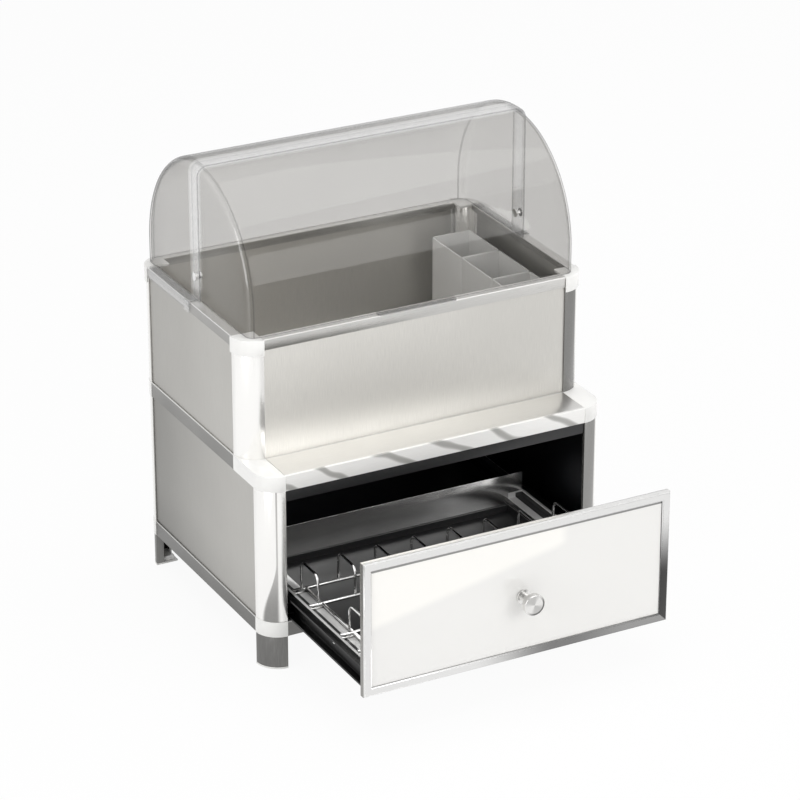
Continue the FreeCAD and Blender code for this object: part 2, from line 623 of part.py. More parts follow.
def foot(name):
    """Hollow foot: a quarter-round wall that turns in at both ends."""
    body = new_body(name)
    size, wall = "Sizes.post_size", "Sizes.foot_wall"
    end, root = f"({wall} + Sizes.foot_return)", f"({size} - {wall})"
    meet = f"({size} - sqrt(({size} - {wall}) ^ 2 - {wall} ^ 2))"
    plan = new_sketch(body, "plan")
    draw_path(plan, [("0", size, size, size, 1), (size, "0"), (size, end), (root, end),
                     (root, meet, size, size, -1), (meet, root), (end, root), (end, size)])
    pad(body, plan, "Sizes.foot_height - Sizes.pad_thickness")
    return body


def foot_pad(name):
    """Pad with a plug that enters the foot."""
    body = new_body(name)
    plan = new_sketch(body, "plan")
    draw_path(plan, quarter_plan("-Sizes.pad_proud", "Sizes.post_size"))
    pad(body, plan, "Sizes.pad_thickness")
    inner = "(Sizes.foot_wall + Sizes.plug_play)"
    plug = new_sketch(body, "plug", offset="Sizes.pad_thickness")
    draw_path(plug, quarter_plan(inner, f"(Sizes.post_size - {inner})"))
    pad(body, plug, "Sizes.pad_plug")
    return body


def rim_cap(name):
    """Cap over a post's top end, with a skirt round its outside and a tenon for each rim rail."""
    body = new_body(name)
    size, proud, play = "Sizes.post_size", "-Sizes.cap_proud", "-Sizes.panel_play"
    skirt = new_sketch(body, "skirt")
    draw_path(skirt, [(size, proud), (size, play, size, size, -1), (play, size), (proud, size, size, size, 1)])
    pad(body, skirt, "Sizes.cap_height")
    top = new_sketch(body, "top", offset="Sizes.cap_height - Sizes.cap_top")
    draw_path(top, quarter_plan(proud, size))
    pad(body, top, "Sizes.cap_top")
    add_tenons(body, "Sizes.cap_height - Sizes.rim_band + Sizes.slot_depth", "Sizes.cap_height")
    return body


base_blocks, ledge_blocks, rim_caps, feet, foot_pads = [], [], [], [], []
for corner, side_x, side_y, turn in CORNERS:
    x, y = corner_spot(side_x, side_y)
    block = corner_block(f"BaseConnector_{corner}", "Sizes.base_band", "0", BASE_SHOULDER)
    base_blocks.append(place(block, x, y, "Sizes.foot_height", turn))
    feet.append(place(foot(f"Foot_{corner}"), x, y, "Sizes.pad_thickness", turn))
    foot_pads.append(place(foot_pad(f"FootPad_{corner}"), x, y, "0", turn))
    if side_y > 0:
        block = corner_block(f"LedgeConnector_{corner}", "Sizes.ledge_band", "Sizes.slot_depth", LEDGE_SHOULDER)
        ledge_blocks.append(place(block, x, y, LEDGE_LOW, turn))
    else:
        block = step_block(f"LedgeConnector_{corner}", side_x)
        ledge_blocks.append(place(block, x, y, LEDGE_LOW))
    x, y = corner_spot(side_x, side_y, UPPER_FRONT)
    rim_caps.append(place(rim_cap(f"RimCap_{corner}"), x, y, f"{RIM_TOP} - Sizes.cap_height", turn))
keep(group("BaseConnectors", base_blocks), "base_connectors")
keep(group("LedgeConnectors", ledge_blocks), "ledge_connectors")
keep(group("RimCaps", rim_caps), "rim_caps")
keep(group("Feet", feet), "feet")
keep(group("FootPads", foot_pads), "foot_pads")

# Tank floor, base panel, ledge plate and stop strip


def floor_panel(name, front):
    """Sheet that lies on the inner ledges of four rails, notched round their corner connectors."""
    body = new_body(name)
    gap = "Sizes.fit_gap"
    wide, narrow = f"({HALF_WIDTH} - {LIP_IN} - {gap})", f"({OPENING_HALF} - {gap})"
    front_edge, back_edge = f"({front} + {LIP_IN} + {gap})", f"({HALF_DEPTH} - {LIP_IN} - {gap})"
    front_notch = f"({front} + Sizes.post_size + {gap})"
    back_notch = f"({HALF_DEPTH} - Sizes.post_size - {gap})"
    right = [(narrow, front_edge), (narrow, front_notch), (wide, front_notch), (wide, back_notch),
             (narrow, back_notch), (narrow, back_edge)]
    plan = new_sketch(body, "plan")
    draw_path(plan, right + [(f"-{x}", y) for x, y in reversed(right)])
    pad(body, plan, "Sizes.floor_sheet")
    return body


keep(place(floor_panel("TankFloor", UPPER_FRONT), "0", "0", FLOOR_LOW), "tank_floor")
keep(place(floor_panel("BasePanel", f"-{HALF_DEPTH}"), "0", "0", f"({BASE_TOP} - Sizes.slot_depth)"), "base_panel")

gap = "Sizes.fit_gap"
narrow = f"({OPENING_HALF} - {gap})"
turned = "(Sizes.tier_setback - Sizes.ledge_lip - Sizes.fit_gap)"
ledge_plate = new_body("LedgePlate")
section = new_sketch(ledge_plate, "section", "YZ_Plane")
draw_path(section, [
    ("0", "-Sizes.ledge_sheet"), (f"{turned} - Sizes.ledge_sheet", "-Sizes.ledge_sheet"),
    (f"{turned} - Sizes.ledge_sheet", "-Sizes.ledge_turn"), (turned, "-Sizes.ledge_turn"), (turned, "0"),
    ("0", "0"),
])
pad(ledge_plate, section, f"2 * {narrow}", "Symmetric")
keep(place(ledge_plate, "0", f"Sizes.ledge_lip - {HALF_DEPTH}", LEDGE_TOP), "ledge_plate")

strip = new_body("StopStrip")
plan = new_sketch(strip, "plan")
draw_rectangle(plan, f"-{narrow}", "0", narrow, "Sizes.strip_depth")
pad(strip, plan, "Sizes.strip_height", back=True)
keep(place(strip, "0", f"Sizes.strip_inset - {HALF_DEPTH}", LEDGE_LOW), "drawer_stop_strip")

# Slides: the drawer's channel opens outwards over the fixed member, with the balls between them


def slide_member(name, reach, half, lip_out, side):
    """Channel section extruded backwards; lips turn away from the middle if lip_out is 1, towards it if -1.

    The outline starts at the web's back and opens towards the right for side -1.
    """
    thick, lip = "Sizes.slide_sheet", "Sizes.race_lip"
    inner, lips = f"({half} - {thick})", f"({reach} - {thick})"
    if lip_out > 0:
        tip = f"({half} + {lip})"
        top = [(reach, inner), (reach, tip), (lips, tip), (lips, half), ("0", half)]
    else:
        tip = f"({inner} - {lip})"
        top = [(lips, inner), (lips, tip), (reach, tip), (reach, half), ("0", half)]
    upper = [(thick, inner)] + top
    corners = [(x, f"-{z}") for x, z in reversed(upper)] + upper
    body = new_body(name)
    section = new_sketch(body, "section", "XZ_Plane")
    draw_path(section, flipped(corners) if side > 0 else corners)
    pad(body, section, "Sizes.slide_length", back=True)
    return body


def slide_bracket(name, side_x, side_y):
    """Angle that carries the fixed member from a post's end face."""
    reach = "(Sizes.post_size - Sizes.profile_wall - Sizes.panel_sheet - 2 * Sizes.panel_play - Sizes.plug_play)"
    sheet_x, sheet_y = f"{side_x} * Sizes.slide_sheet", f"{-side_y} * Sizes.slide_sheet"
    far_x, far_y = f"{side_x} * {reach}", f"{-side_y} * Sizes.bracket_reach"
    body = new_body(name)
    plan = new_sketch(body, "plan")
    draw_path(plan, [("0", "0"), (far_x, "0"), (far_x, sheet_y), (sheet_x, sheet_y), (sheet_x, far_y),
                     ("0", far_y)])
    pad(body, plan, "2 * Sizes.fixed_half", "Symmetric")
    return body


def ball_cage(name, side):
    """Strip bent to a channel that holds the balls of both races of one slide."""
    thick, length = "Sizes.cage_sheet", "Sizes.cage_length"
    web = f"({CAGE_WEB} - {thick} / 2)"
    tip = f"({BALL_X} + Sizes.ball_radius + {thick})"
    low, high = f"({RACE_Z} - {thick} / 2)", f"({RACE_Z} + {thick} / 2)"
    upper = [(f"{web} + {thick}", low), (tip, low), (tip, high), (web, high)]
    corners = [(x, f"-({z})") for x, z in reversed(upper)] + upper
    body = new_body(name)
    section = new_sketch(body, "section", "XZ_Plane")
    draw_path(section, flipped(corners) if side < 0 else corners)
    pad(body, section, length, "Symmetric")
    holes = new_sketch(body, "holes")
    x = BALL_X if side > 0 else f"-{BALL_X}"
    for row in range(count("race_balls")):
        y = f"({row} - (Sizes.race_balls - 1) / 2) * Sizes.ball_pitch"
        draw_octagon(holes, x, y, "(Sizes.ball_radius + 2 * Sizes.ball_play)")
    pocket(body, holes)
    return body


def ball(name):
    """Ball with flat facets: an octagonal bar as long as it is wide, bevelled at both ends."""
    body = new_body(name)
    plan = new_sketch(body, "plan")
    radius, flat = "Sizes.ball_radius", math.cos(math.pi / 8)
    draw_octagon(plan, "0", "0", radius)
    bar = pad(body, plan, f"2 * {radius} * {flat}", "Symmetric")
    bevel(body, bar, lambda edge: not upright(edge), f"{radius} * {flat - math.sin(math.pi / 8)}")
    return body


brackets, cages, balls = [], [], []
for name, side in (("left", -1), ("right", 1)):
    fixed = slide_member(f"SlideRail_{name}", "Sizes.fixed_reach", "Sizes.fixed_half", 1, side)
    keep(place(fixed, f"{side} * {OPENING_HALF}", FIXED_START, SLIDE_Z), f"slide_rail_{name}")
    channel = slide_member(f"SlideChannel_{name}", "Sizes.channel_reach", CHANNEL_HALF, -1, -side)
    keep(place(channel, f"{side} * {DRAWER_SIDE}", CHANNEL_START, SLIDE_Z), f"slide_channel_{name}")
    cages.append(place(ball_cage(f"BallCage_{name}", side), f"{side} * {DRAWER_SIDE}", CAGE_Y, SLIDE_Z))
    for side_y in (-1, 1):
        angle = slide_bracket(f"SlideBracket_{name}_{'back' if side_y > 0 else 'front'}", side, side_y)
        brackets.append(place(angle, f"{side} * {OPENING_HALF}", f"{side_y} * ({HALF_DEPTH} - Sizes.post_size)",
                              SLIDE_Z))
    for level in (-1, 1):
        for row in range(count("race_balls")):
            piece = ball(f"Ball_{name}_{'top' if level > 0 else 'low'}_{row}")
            y = f"{CAGE_Y} + ({row} - (Sizes.race_balls - 1) / 2) * Sizes.ball_pitch"
            balls.append(place(piece, f"{side} * ({DRAWER_SIDE} + {BALL_X})", y,
                               f"{SLIDE_Z} + {level} * {RACE_Z}"))
keep(group("SlideBrackets", brackets), "slide_brackets")
keep(group("BallCages", cages), "ball_cages")
keep(group("SlideBalls", balls), "slide_balls")

# Drawer front


def frame_bar(name, length):
    """Extruded frame bar along X with mitred ends, its outer edge at Z zero and its face at Y zero."""
    width, deep, bevel = "Sizes.frame_face", "Sizes.front_thickness", "Sizes.frame_bevel"
    groove = f"({width} - Sizes.panel_tongue - Sizes.plug_play)"
    near = "Sizes.panel_recess"
    far = f"({near} + Sizes.front_sheet + 2 * Sizes.panel_play)"
    body = new_body(name)
    section = new_sketch(body, "section", "YZ_Plane")
    draw_path(section, [
        (bevel, "0"), (deep, "0"), (deep, width), (far, width), (far, groove), (near, groove), (near, width),
        (bevel, width), ("0", f"{width} - {bevel}"), ("0", bevel),
    ])
    pad(body, section, length, "Symmetric")
    mitre = new_sketch(body, "mitre", "XZ_Plane")
    end = f"({length} / 2)"
    for side in ("", "-"):
        draw_path(mitre, [(f"{side}{end}", "0"), (f"{side}{end}", width), (f"{side}({end} - {width})", width)])
    pocket(body, mitre)
    return body


bars = []
for name, angle, length, x, z in (
    ("low", 0, f"(2 * {FRONT_HALF})", "0", FRONT_LOW),
    ("left", 90, FRONT_HEIGHT, f"-{FRONT_HALF}", FRONT_MIDDLE),
    ("top", 180, f"(2 * {FRONT_HALF})", "0", f"{FRONT_LOW} + {FRONT_HEIGHT}"),
    ("right", 270, FRONT_HEIGHT, FRONT_HALF, FRONT_MIDDLE),
):
    bars.append(place(frame_bar(f"FrameBar_{name}", length), x, DRAWER_FACE, z, angle, Y_AXIS))
keep(group("DrawerFrame", bars), "drawer_frame")

glass = new_body("DrawerGlass")
face = new_sketch(glass, "face", "XZ_Plane")
rim = "(Sizes.frame_face - Sizes.panel_tongue)"
half_x, half_z = f"({FRONT_HALF} - {rim})", f"({FRONT_HEIGHT} / 2 - {rim})"
draw_rectangle(face, f"-{half_x}", f"-{half_z}", half_x, half_z)
pad(glass, face, "Sizes.front_sheet", back=True)
keep(place(glass, "0", GLASS_FACE, FRONT_MIDDLE), "drawer_glass")

knob = new_body("DrawerKnob")
profile = new_sketch(knob, "profile", "YZ_Plane")
reach, edge = "Sizes.knob_reach", "Sizes.knob_edge"
head, head_low = "Sizes.knob_head_radius", "(Sizes.knob_reach - Sizes.knob_head_height)"
draw_path(profile, [
    (f"-{reach}", "0"), ("0", "0"), ("0", "Sizes.knob_foot_radius"), ("-Sizes.knob_foot_height", "Sizes.knob_foot_radius"),
    ("-Sizes.knob_foot_height", "Sizes.knob_neck_radius"), (f"-{head_low}", "Sizes.knob_neck_radius"),
    (f"-{head_low}", head), (f"-({reach} - {edge})", head), (f"-{reach}", f"{head} - {edge}"),
])
revolve(knob, profile)
keep(place(knob, "Sizes.knob_side", GLASS_FACE, f"{FRONT_MIDDLE} - Sizes.knob_low"), "drawer_knob")

# Drawer tray, drip pan and bowl rack

thick, ledge, lip = "Sizes.tray_sheet", "Sizes.tray_ledge", "Sizes.tray_lip"
top, low = "(Sizes.tray_ledge_low + Sizes.tray_sheet)", "-Sizes.tray_drop"
inner = f"({DRAWER_SIDE} - {ledge})"
right_side = [
    (inner, f"{low} - {thick}"), (inner, f"-{thick}"), (DRAWER_SIDE, f"-{thick}"),
    (DRAWER_SIDE, f"{top} - {thick}"), (f"({DRAWER_SIDE} + {lip})", f"{top} - {thick}"),
    (f"({DRAWER_SIDE} + {lip})", top), (f"({DRAWER_SIDE} - {thick})", top), (f"({DRAWER_SIDE} - {thick})", "0"),
    (f"({inner} - {thick})", "0"), (f"({inner} - {thick})", low),
]
tray = new_body("DrawerTray")
section = new_sketch(tray, "section", "XZ_Plane")
draw_path(section, right_side + [(f"-{x}", z) for x, z in reversed(right_side)])
pad(tray, section, "Sizes.tray_length", back=True)
front_wall = new_sketch(tray, "front_wall", "XZ_Plane")
wall_half, wall_low = f"({OPENING_HALF} - 2 * {gap})", f"({BASE_TOP} + 2 * {gap} - {TRAY_LEDGE})"
draw_rectangle(front_wall, f"-{wall_half}", wall_low, wall_half, "Sizes.tray_front")
pad(tray, front_wall, thick, back=True)
back_wall = new_sketch(tray, "back_wall", "XZ_Plane", "-Sizes.tray_length")
draw_rectangle(back_wall, f"-({DRAWER_SIDE} - {thick})", low, f"({DRAWER_SIDE} - {thick})", "Sizes.tray_back")
pad(tray, back_wall, thick)
keep(place(tray, "0", DRAWER_BACK_PLANE, TRAY_LEDGE), "drawer_tray")

pan = new_body("DripPan")
plan = new_sketch(pan, "plan")
pan_half = f"({inner} - {thick} - 2 * {gap})"
pan_start, pan_end = f"({thick} + 2 * {gap})", f"(Sizes.tray_length - {thick} - 2 * {gap})"
draw_rectangle(plan, f"-{pan_half}", pan_start, pan_half, pan_end)
pad(pan, plan, "Sizes.pan_height")
hollow = new_sketch(pan, "hollow", offset="Sizes.pan_wall")
wall = "Sizes.pan_wall"
draw_rectangle(hollow, f"-({pan_half} - {wall})", f"{pan_start} + {wall}", f"{pan_half} - {wall}",
               f"{pan_end} - {wall}")
pocket(pan, hollow, "Sizes.pan_height", back=True)
keep(place(pan, "0", DRAWER_BACK_PLANE, TRAY_FLOOR), "drip_pan")


def rod(body, name, y, z, start, length):
    """Rod along X."""
    end = new_sketch(body, name, "YZ_Plane", start)
    draw_octagon(end, y, z, "Sizes.rod_radius")
    return pad(body, end, length)


def sweep_wire(body, name, spine, section):
    """Sweeps a wire's section along its spine."""
    sweep = body.newObject("PartDesign::AdditivePipe", f"{body.Name}_{name}")
    sweep.Profile = section
    sweep.Spine = (spine, [f"Edge{i}" for i in range(1, spine.GeometryCount + 1)])
    sweep.Mode = "Frenet"
    sweep.Transition = "Right corner"
    doc.recompute()
    return sweep


def upright_loop(body, name, offset, path, radius):
    """Wire loop in the YZ plane that starts straight up."""
    spine = new_sketch(body, f"{name}_spine", "YZ_Plane", offset)
    draw_path(spine, path, closed=False)
    section = new_sketch(body, f"{name}_section", "XY_Plane", path[0][1])
    draw_octagon(section, offset, path[0][0], radius)
    return sweep_wire(body, name, spine, section)


def loop_path(middle, half, foot_z, top_z):
    """Path of an upside-down U in the YZ plane with its corners cut."""
    bend = "Sizes.loop_bend"
    left, right = f"({middle} - {half})", f"({middle} + {half})"
    low = f"({top_z} - {bend})"
    return [(left, foot_z), (left, low), (f"({left} + {bend})", top_z), (f"({right} - {bend})", top_z),
            (right, low), (right, foot_z)]


def loop_row(name, middle, half, rods_z, rise, first, run, slots):
    """Row of loops that stand on two rods; each loop is a wire of its own."""
    body = new_body(name)
    foot_z = f"({rods_z} + Sizes.rod_radius + Sizes.weld_gap)"
    path = loop_path(middle, half, foot_z, f"({rods_z} + {rise})")
    loop = upright_loop(body, "loop", first, path, "Sizes.loop_radius")
    repeat(body, [loop], "X_Axis", run, f"{slots} + 1")
    return body


# Plate rack: two rods on end frames, with a row of loops that part the plates

plate_frame = new_body("PlateRackFrame")
half, height, radius = "Sizes.plate_loop_half", "Sizes.plate_rod_height", "Sizes.rod_radius"
first, run = PLATE_START, PLATE_RUN
for name, y in (("front", f"-{half}"), ("back", half)):
    rod(plate_frame, f"rod_{name}", y, height, first, run)
for end, x in (("left", first), ("right", f"({first} + {run})")):
    base = new_sketch(plate_frame, f"foot_{end}", "XZ_Plane", half)
    draw_octagon(base, x, radius, radius)
    pad(plate_frame, base, f"2 * {half}", back=True)
    for name, y in (("front", f"-{half}"), ("back", half)):
        leg = new_sketch(plate_frame, f"leg_{end}_{name}", "XY_Plane", radius)
        draw_octagon(leg, x, y, radius)
        pad(plate_frame, leg, f"{height} - {radius}")
place(plate_frame, "0", TANK_MIDDLE, FLOOR_TOP)
plate_loops = loop_row("PlateRackLoops", "0", half, height, "Sizes.plate_loop_height", first, run,
                       "Sizes.plate_slots")
place(plate_loops, "0", TANK_MIDDLE, FLOOR_TOP)
keep(group("PlateRack", [plate_frame, plate_loops]), "plate_rack")

# Bowl rack: two rows of loops on rod pairs, joined by side bars and resting on hairpin feet

bowl_frame = new_body("BowlRackFrame")
half, height, wire = "Sizes.bowl_loop_half", "Sizes.bowl_rod_height", "Sizes.foot_wire"
run, end = BOWL_RUN, BOWL_END
bar, spread = f"({end} - Sizes.foot_long)", "Sizes.foot_half"
hairpins, bowl_rows = [], []
for row in range(2):
    middle = f"(Sizes.bowl_row_front + {row} * Sizes.bowl_row_step)"
    for name, y in (("near", f"({middle} - {half})"), ("far", f"({middle} + {half})")):
        rod(bowl_frame, f"rod_{row}_{name}", y, height, f"-{end}", f"2 * {end}")
        turn = f"(-{end} + {spread})"
        spine = new_sketch(bowl_frame, f"foot_{row}_{name}_spine", "XY_Plane", wire)
        draw_path(spine, [(f"-{bar}", f"{y} + {spread}"), (turn, f"{y} + {spread}"), (f"-{end}", f"{y}"),
                          (turn, f"{y} - {spread}"), (f"-{bar}", f"{y} - {spread}")], closed=False)
        section = new_sketch(bowl_frame, f"foot_{row}_{name}_section", "YZ_Plane", f"-{bar}")
        draw_octagon(section, f"({y} + {spread})", wire, wire)
        hairpins.append(sweep_wire(bowl_frame, f"foot_{row}_{name}", spine, section))
    loops = loop_row(f"BowlRackLoops_{row}", middle, half, height, "Sizes.bowl_loop_height", f"-{run} / 2", run,
                     "Sizes.bowl_slots")
    bowl_rows.append(place(loops, "0", DRAWER_BACK_PLANE, TRAY_LEDGE))
right_hairpins = bowl_frame.newObject("PartDesign::Mirrored", "BowlRackFrame_right_feet")
right_hairpins.Originals = hairpins
right_hairpins.MirrorPlane = (origin_feature(bowl_frame, "YZ_Plane"), [""])
bowl_frame.Tip = right_hairpins
start = f"(Sizes.bowl_row_front - {half} - {spread})"
for name, x in (("left", f"-{bar}"), ("right", bar)):
    side_bar = new_sketch(bowl_frame, f"bar_{name}", "XZ_Plane", f"-{start}")
    draw_octagon(side_bar, x, f"Sizes.rod_radius + {wire} / 2", "Sizes.rod_radius")
    pad(bowl_frame, side_bar, f"Sizes.bowl_row_step + 2 * {half} + 2 * {spread}", back=True)
place(bowl_frame, "0", DRAWER_BACK_PLANE, TRAY_LEDGE)
keep(group("BowlRack", [bowl_frame] + bowl_rows), "bowl_rack")

# Utensil holder: a row of cups that stand side by side in the tank


def utensil_cup(name):
    """Open cup with rounded upright edges and drain slots through its floor."""
    body = new_body(name)
    wide, deep, wall = "Sizes.cup_width", f"({CUP_STEP} - Sizes.cup_gap)", "Sizes.cup_wall"
    plan = new_sketch(body, "plan")
    draw_rectangle(plan, "0", "0", wide, deep)
    fillet(body, pad(body, plan, "Sizes.cup_height"), upright, "Sizes.cup_edge")
    hollow = new_sketch(body, "hollow", offset=wall)
    draw_rectangle(hollow, wall, wall, f"{wide} - {wall}", f"{deep} - {wall}")
    pocket(body, hollow, "Sizes.cup_height", back=True)
    step = f"({deep} / Sizes.drain_slots)"
    drain = new_sketch(body, "drain")
    draw_rectangle(drain, "Sizes.drain_edge", f"({step} - Sizes.drain_width) / 2",
                   f"{wide} - Sizes.drain_edge", f"({step} + Sizes.drain_width) / 2")
    slot = pocket(body, drain, f"2 * {wall}", back=True)
    repeat(body, [slot], "Y_Axis", f"{step} * (Sizes.drain_slots - 1)", "Sizes.drain_slots")
    return body


cups = []
for row in range(count("cups")):
    y = f"{UPPER_FRONT} + Sizes.post_size + Sizes.cup_end_gap + {row} * {CUP_STEP}"
    cups.append(place(utensil_cup(f"UtensilCup_{row + 1}"), f"{HALF_WIDTH} - Sizes.cup_inset - Sizes.cup_width", y,
                      FLOOR_TOP))
keep(group("UtensilHolder", cups), "utensil_holder")

# Lids: quarter-round shells on a common hinge axis, which is the origin of both bodies


def lid_profile(radius, side):
    """Side view of a shell from the hinge axis to one side: 1 back, -1 front."""
    past = "Sizes.lid_overlap"
    crown = f"sqrt({radius} ^ 2 - {past} ^ 2)"
    if side > 0:
        return [(f"-{past}", LID_LOW), (radius, LID_LOW), (radius, "0", "0", "0", 1), (f"-{past}", crown)]
    return [(f"-{radius}", LID_LOW), (past, LID_LOW), (past, crown, "0", "0", 1), (f"-{radius}", "0")]


def lid_form(name, radius, half, edge, side):
    """Solid quarter barrel with its curved and upright end edges bevelled."""
    body = new_body(name)
    profile = new_sketch(body, "profile", "YZ_Plane")
    draw_path(profile, lid_profile(radius, side))
    block = pad(body, profile, f"2 * {half}", "Symmetric")
    reach, end, low = value(radius), value(half), value(LID_LOW)

    def end_rim(edge_):
        """True for an edge where the curved or upright wall meets one of the ends."""
        middle = edge_.valueAt((edge_.FirstParameter + edge_.LastParameter) / 2)
        at_end = abs(abs(middle.x) - end) < 1e-6
        on_wall = abs(math.hypot(middle.y, max(middle.z, 0)) - reach) < 1e-6
        return at_end and on_wall and middle.z > low + 1e-6

    bevel(body, block, end_rim, edge)
    return body


def lid_shell(name, radius, half, edge, side):
    """Shell from the hinge axis to one side; open below and towards the other shell."""
    body = lid_form(name, radius, half, edge, side)
    wall = "Sizes.lid_wall"
    inside = lid_form(f"{name}_inside", f"({radius} - {wall})", f"({half} - {wall})", f"({edge} - (2 - sqrt(2)) * {wall})",
                      side)
    cut = body.newObject("PartDesign::Boolean", f"{name}_shell")
    cut.Type = "Cut"
    cut.setObjects([inside])
    doc.recompute()
    return body


def lid_bore(body, play):
    """Bores both end walls for the hinge pins."""
    bore = new_sketch(body, "bore", "YZ_Plane")
    draw_circle(bore, "0", "0", f"Sizes.pin_radius + {play}")
    pocket(body, bore)


rear_lid = lid_shell("RearLid", LID_RADIUS, LID_HALF, "Sizes.lid_edge", 1)
inside, outside = f"({LID_HALF} - Sizes.lid_wall)", f"({HALF_WIDTH} + Sizes.fit_gap)"
outer = f"({outside} + Sizes.flange_sheet)"
flange_top = f"({LID_LOW} + Sizes.flange_sheet)"
flange = new_sketch(rear_lid, "flange", "XZ_Plane", "Sizes.flange_front")
corners = [(inside, LID_LOW), (outside, LID_LOW), (outside, "-(Sizes.lid_skirt + Sizes.flange_drop)"),
           (outer, "-(Sizes.lid_skirt + Sizes.flange_drop)"), (outer, flange_top), (inside, flange_top)]
draw_path(flange, corners)
draw_path(flange, flipped(corners))
pad(rear_lid, flange, "Sizes.flange_front + Sizes.flange_back", back=True)
tab = new_sketch(rear_lid, "tab", "XZ_Plane", "Sizes.flange_front")
draw_rectangle(tab, outside, "-(Sizes.lid_skirt + Sizes.tab_drop)", outer, LID_LOW)
draw_rectangle(tab, f"-{outside}", "-(Sizes.lid_skirt + Sizes.tab_drop)", f"-{outer}", LID_LOW)
pad(rear_lid, tab, "Sizes.tab_length", back=True)
lid_bore(rear_lid, "Sizes.pin_bore_play")
keep(place(rear_lid, "0", TANK_MIDDLE, LID_AXIS), "rear_lid")

front_radius, front_half = f"({LID_RADIUS} - {LID_STEP})", f"({LID_HALF} - {LID_STEP})"
front_lid = lid_shell("FrontLid", front_radius, front_half, f"(Sizes.lid_edge - (2 - sqrt(2)) * {LID_STEP})", -1)
lip = new_sketch(front_lid, "lip", offset=LID_LOW)
draw_rectangle(lip, "-Sizes.lip_length / 2", f"-({front_radius} + Sizes.lip_reach)", "Sizes.lip_length / 2",
               f"-({front_radius} - Sizes.lid_wall / 2)")
lip_pad = pad(front_lid, lip, "Sizes.lip_sheet")
tip_y = -value(f"{front_radius} + Sizes.lip_reach")
fillet(front_lid, lip_pad, lambda edge: upright(edge) and abs(edge.Vertexes[0].Y - tip_y) < 1e-6,
       "Sizes.lip_corner")
lid_bore(front_lid, "Sizes.pin_play")
keep(place(front_lid, "0", TANK_MIDDLE, LID_AXIS), "front_lid")


def hinge_pin(name):
    """Riveted pin; its outer head starts at the rear lid's outside and its inner one inside the front lid."""
    body = new_body(name)
    grip = f"({LID_STEP} + Sizes.lid_wall + Sizes.fit_gap)"
    for part, start, radius, length in (
        ("head", "0", "Sizes.pin_head", "Sizes.pin_head_height"),
        ("shank", f"-{grip}", "Sizes.pin_radius", grip),
        ("rivet", f"-({grip} + Sizes.pin_head_height)", "Sizes.pin_head", "Sizes.pin_head_height"),
    ):
        section = new_sketch(body, part, "YZ_Plane", start)
        draw_circle(section, "0", "0", radius)
        pad(body, section, length)
    return body


pins = [place(hinge_pin("HingePin_right"), LID_HALF, TANK_MIDDLE, LID_AXIS),
        place(hinge_pin("HingePin_left"), f"-{LID_HALF}", TANK_MIDDLE, LID_AXIS, 180)]
keep(group("HingePins", pins), "lid_pins")


def export_all():
    """Checks every object and sub-part, then writes one file for each node."""
    doc.recompute()
    for item in doc.Objects:
        if "Invalid" in item.State or "Error" in item.State:
            raise ValueError(f"{item.Name} did not build: {item.State}")
    os.makedirs("parts", exist_ok=True)
    for piece in nodes:
        shape = piece.Shape
        if shape.isNull() or not shape.isValid() or not shape.Solids:
            raise ValueError(f"{piece.Label} has no valid solid")
        shape.exportStep(os.path.join("parts", f"{piece.Label}.step"))
    print(f"{len(nodes)} nodes written")


export_all()
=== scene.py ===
"""Looks of a dish storage cabinet: a clear barrel lid on a steel plate tank, above a framed bowl drawer."""

import json
import math

import bmesh
import bpy
import numpy as np
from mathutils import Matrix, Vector


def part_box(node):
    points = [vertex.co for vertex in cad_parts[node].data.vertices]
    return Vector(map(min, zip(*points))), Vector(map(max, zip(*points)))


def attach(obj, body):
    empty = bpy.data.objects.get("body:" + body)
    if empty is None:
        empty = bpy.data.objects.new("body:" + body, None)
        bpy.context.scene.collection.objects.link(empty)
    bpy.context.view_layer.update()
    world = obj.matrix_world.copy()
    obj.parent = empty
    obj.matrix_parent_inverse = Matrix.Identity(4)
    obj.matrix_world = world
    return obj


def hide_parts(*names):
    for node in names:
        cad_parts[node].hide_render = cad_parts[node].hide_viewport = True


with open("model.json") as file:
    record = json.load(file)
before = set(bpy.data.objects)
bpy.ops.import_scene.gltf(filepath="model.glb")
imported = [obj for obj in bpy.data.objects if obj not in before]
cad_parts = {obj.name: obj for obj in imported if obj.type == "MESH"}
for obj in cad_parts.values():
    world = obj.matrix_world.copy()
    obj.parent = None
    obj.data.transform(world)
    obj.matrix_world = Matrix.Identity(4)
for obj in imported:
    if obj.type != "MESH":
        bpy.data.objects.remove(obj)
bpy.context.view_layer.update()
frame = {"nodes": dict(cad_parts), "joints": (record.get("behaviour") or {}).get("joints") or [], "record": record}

MM = 0.001
MICRON = 1e-6

# Lids: wall, reach past the hinge axis, lower edge under it; radius, half length and edge rounding of each

LID_WALL, LID_PAST, LID_LOW = 2 * MM, 10.5 * MM, -26.7 * MM
REAR_RADIUS, REAR_HALF, REAR_ROUND = 130 * MM, 201.6 * MM, 13 * MM
FRONT_RADIUS, FRONT_HALF, FRONT_ROUND = 127.2 * MM, 198.8 * MM, 10.2 * MM

# Flanges of the rear lid; levels and places are measured from the hinge axis

FLANGE_SHEET, FLANGE_IN, FLANGE_OUT = 1.8 * MM, 210.3 * MM, 212.1 * MM
FLANGE_LOW, FLANGE_FRONT, FLANGE_BACK = -36 * MM, -4 * MM, 105 * MM
TAB_LOW, TAB_LONG = -39.5 * MM, 13 * MM

# Finger lip of the front lid

LIP_ROOT, LIP_OUT, LIP_HALF, LIP_THICK, LIP_CORNER = 1 * MM, 9 * MM, 47.5 * MM, 2.4 * MM, 4 * MM

# Racks: radii of the wires and bend of the loops, then the plate rack and the bowl rack

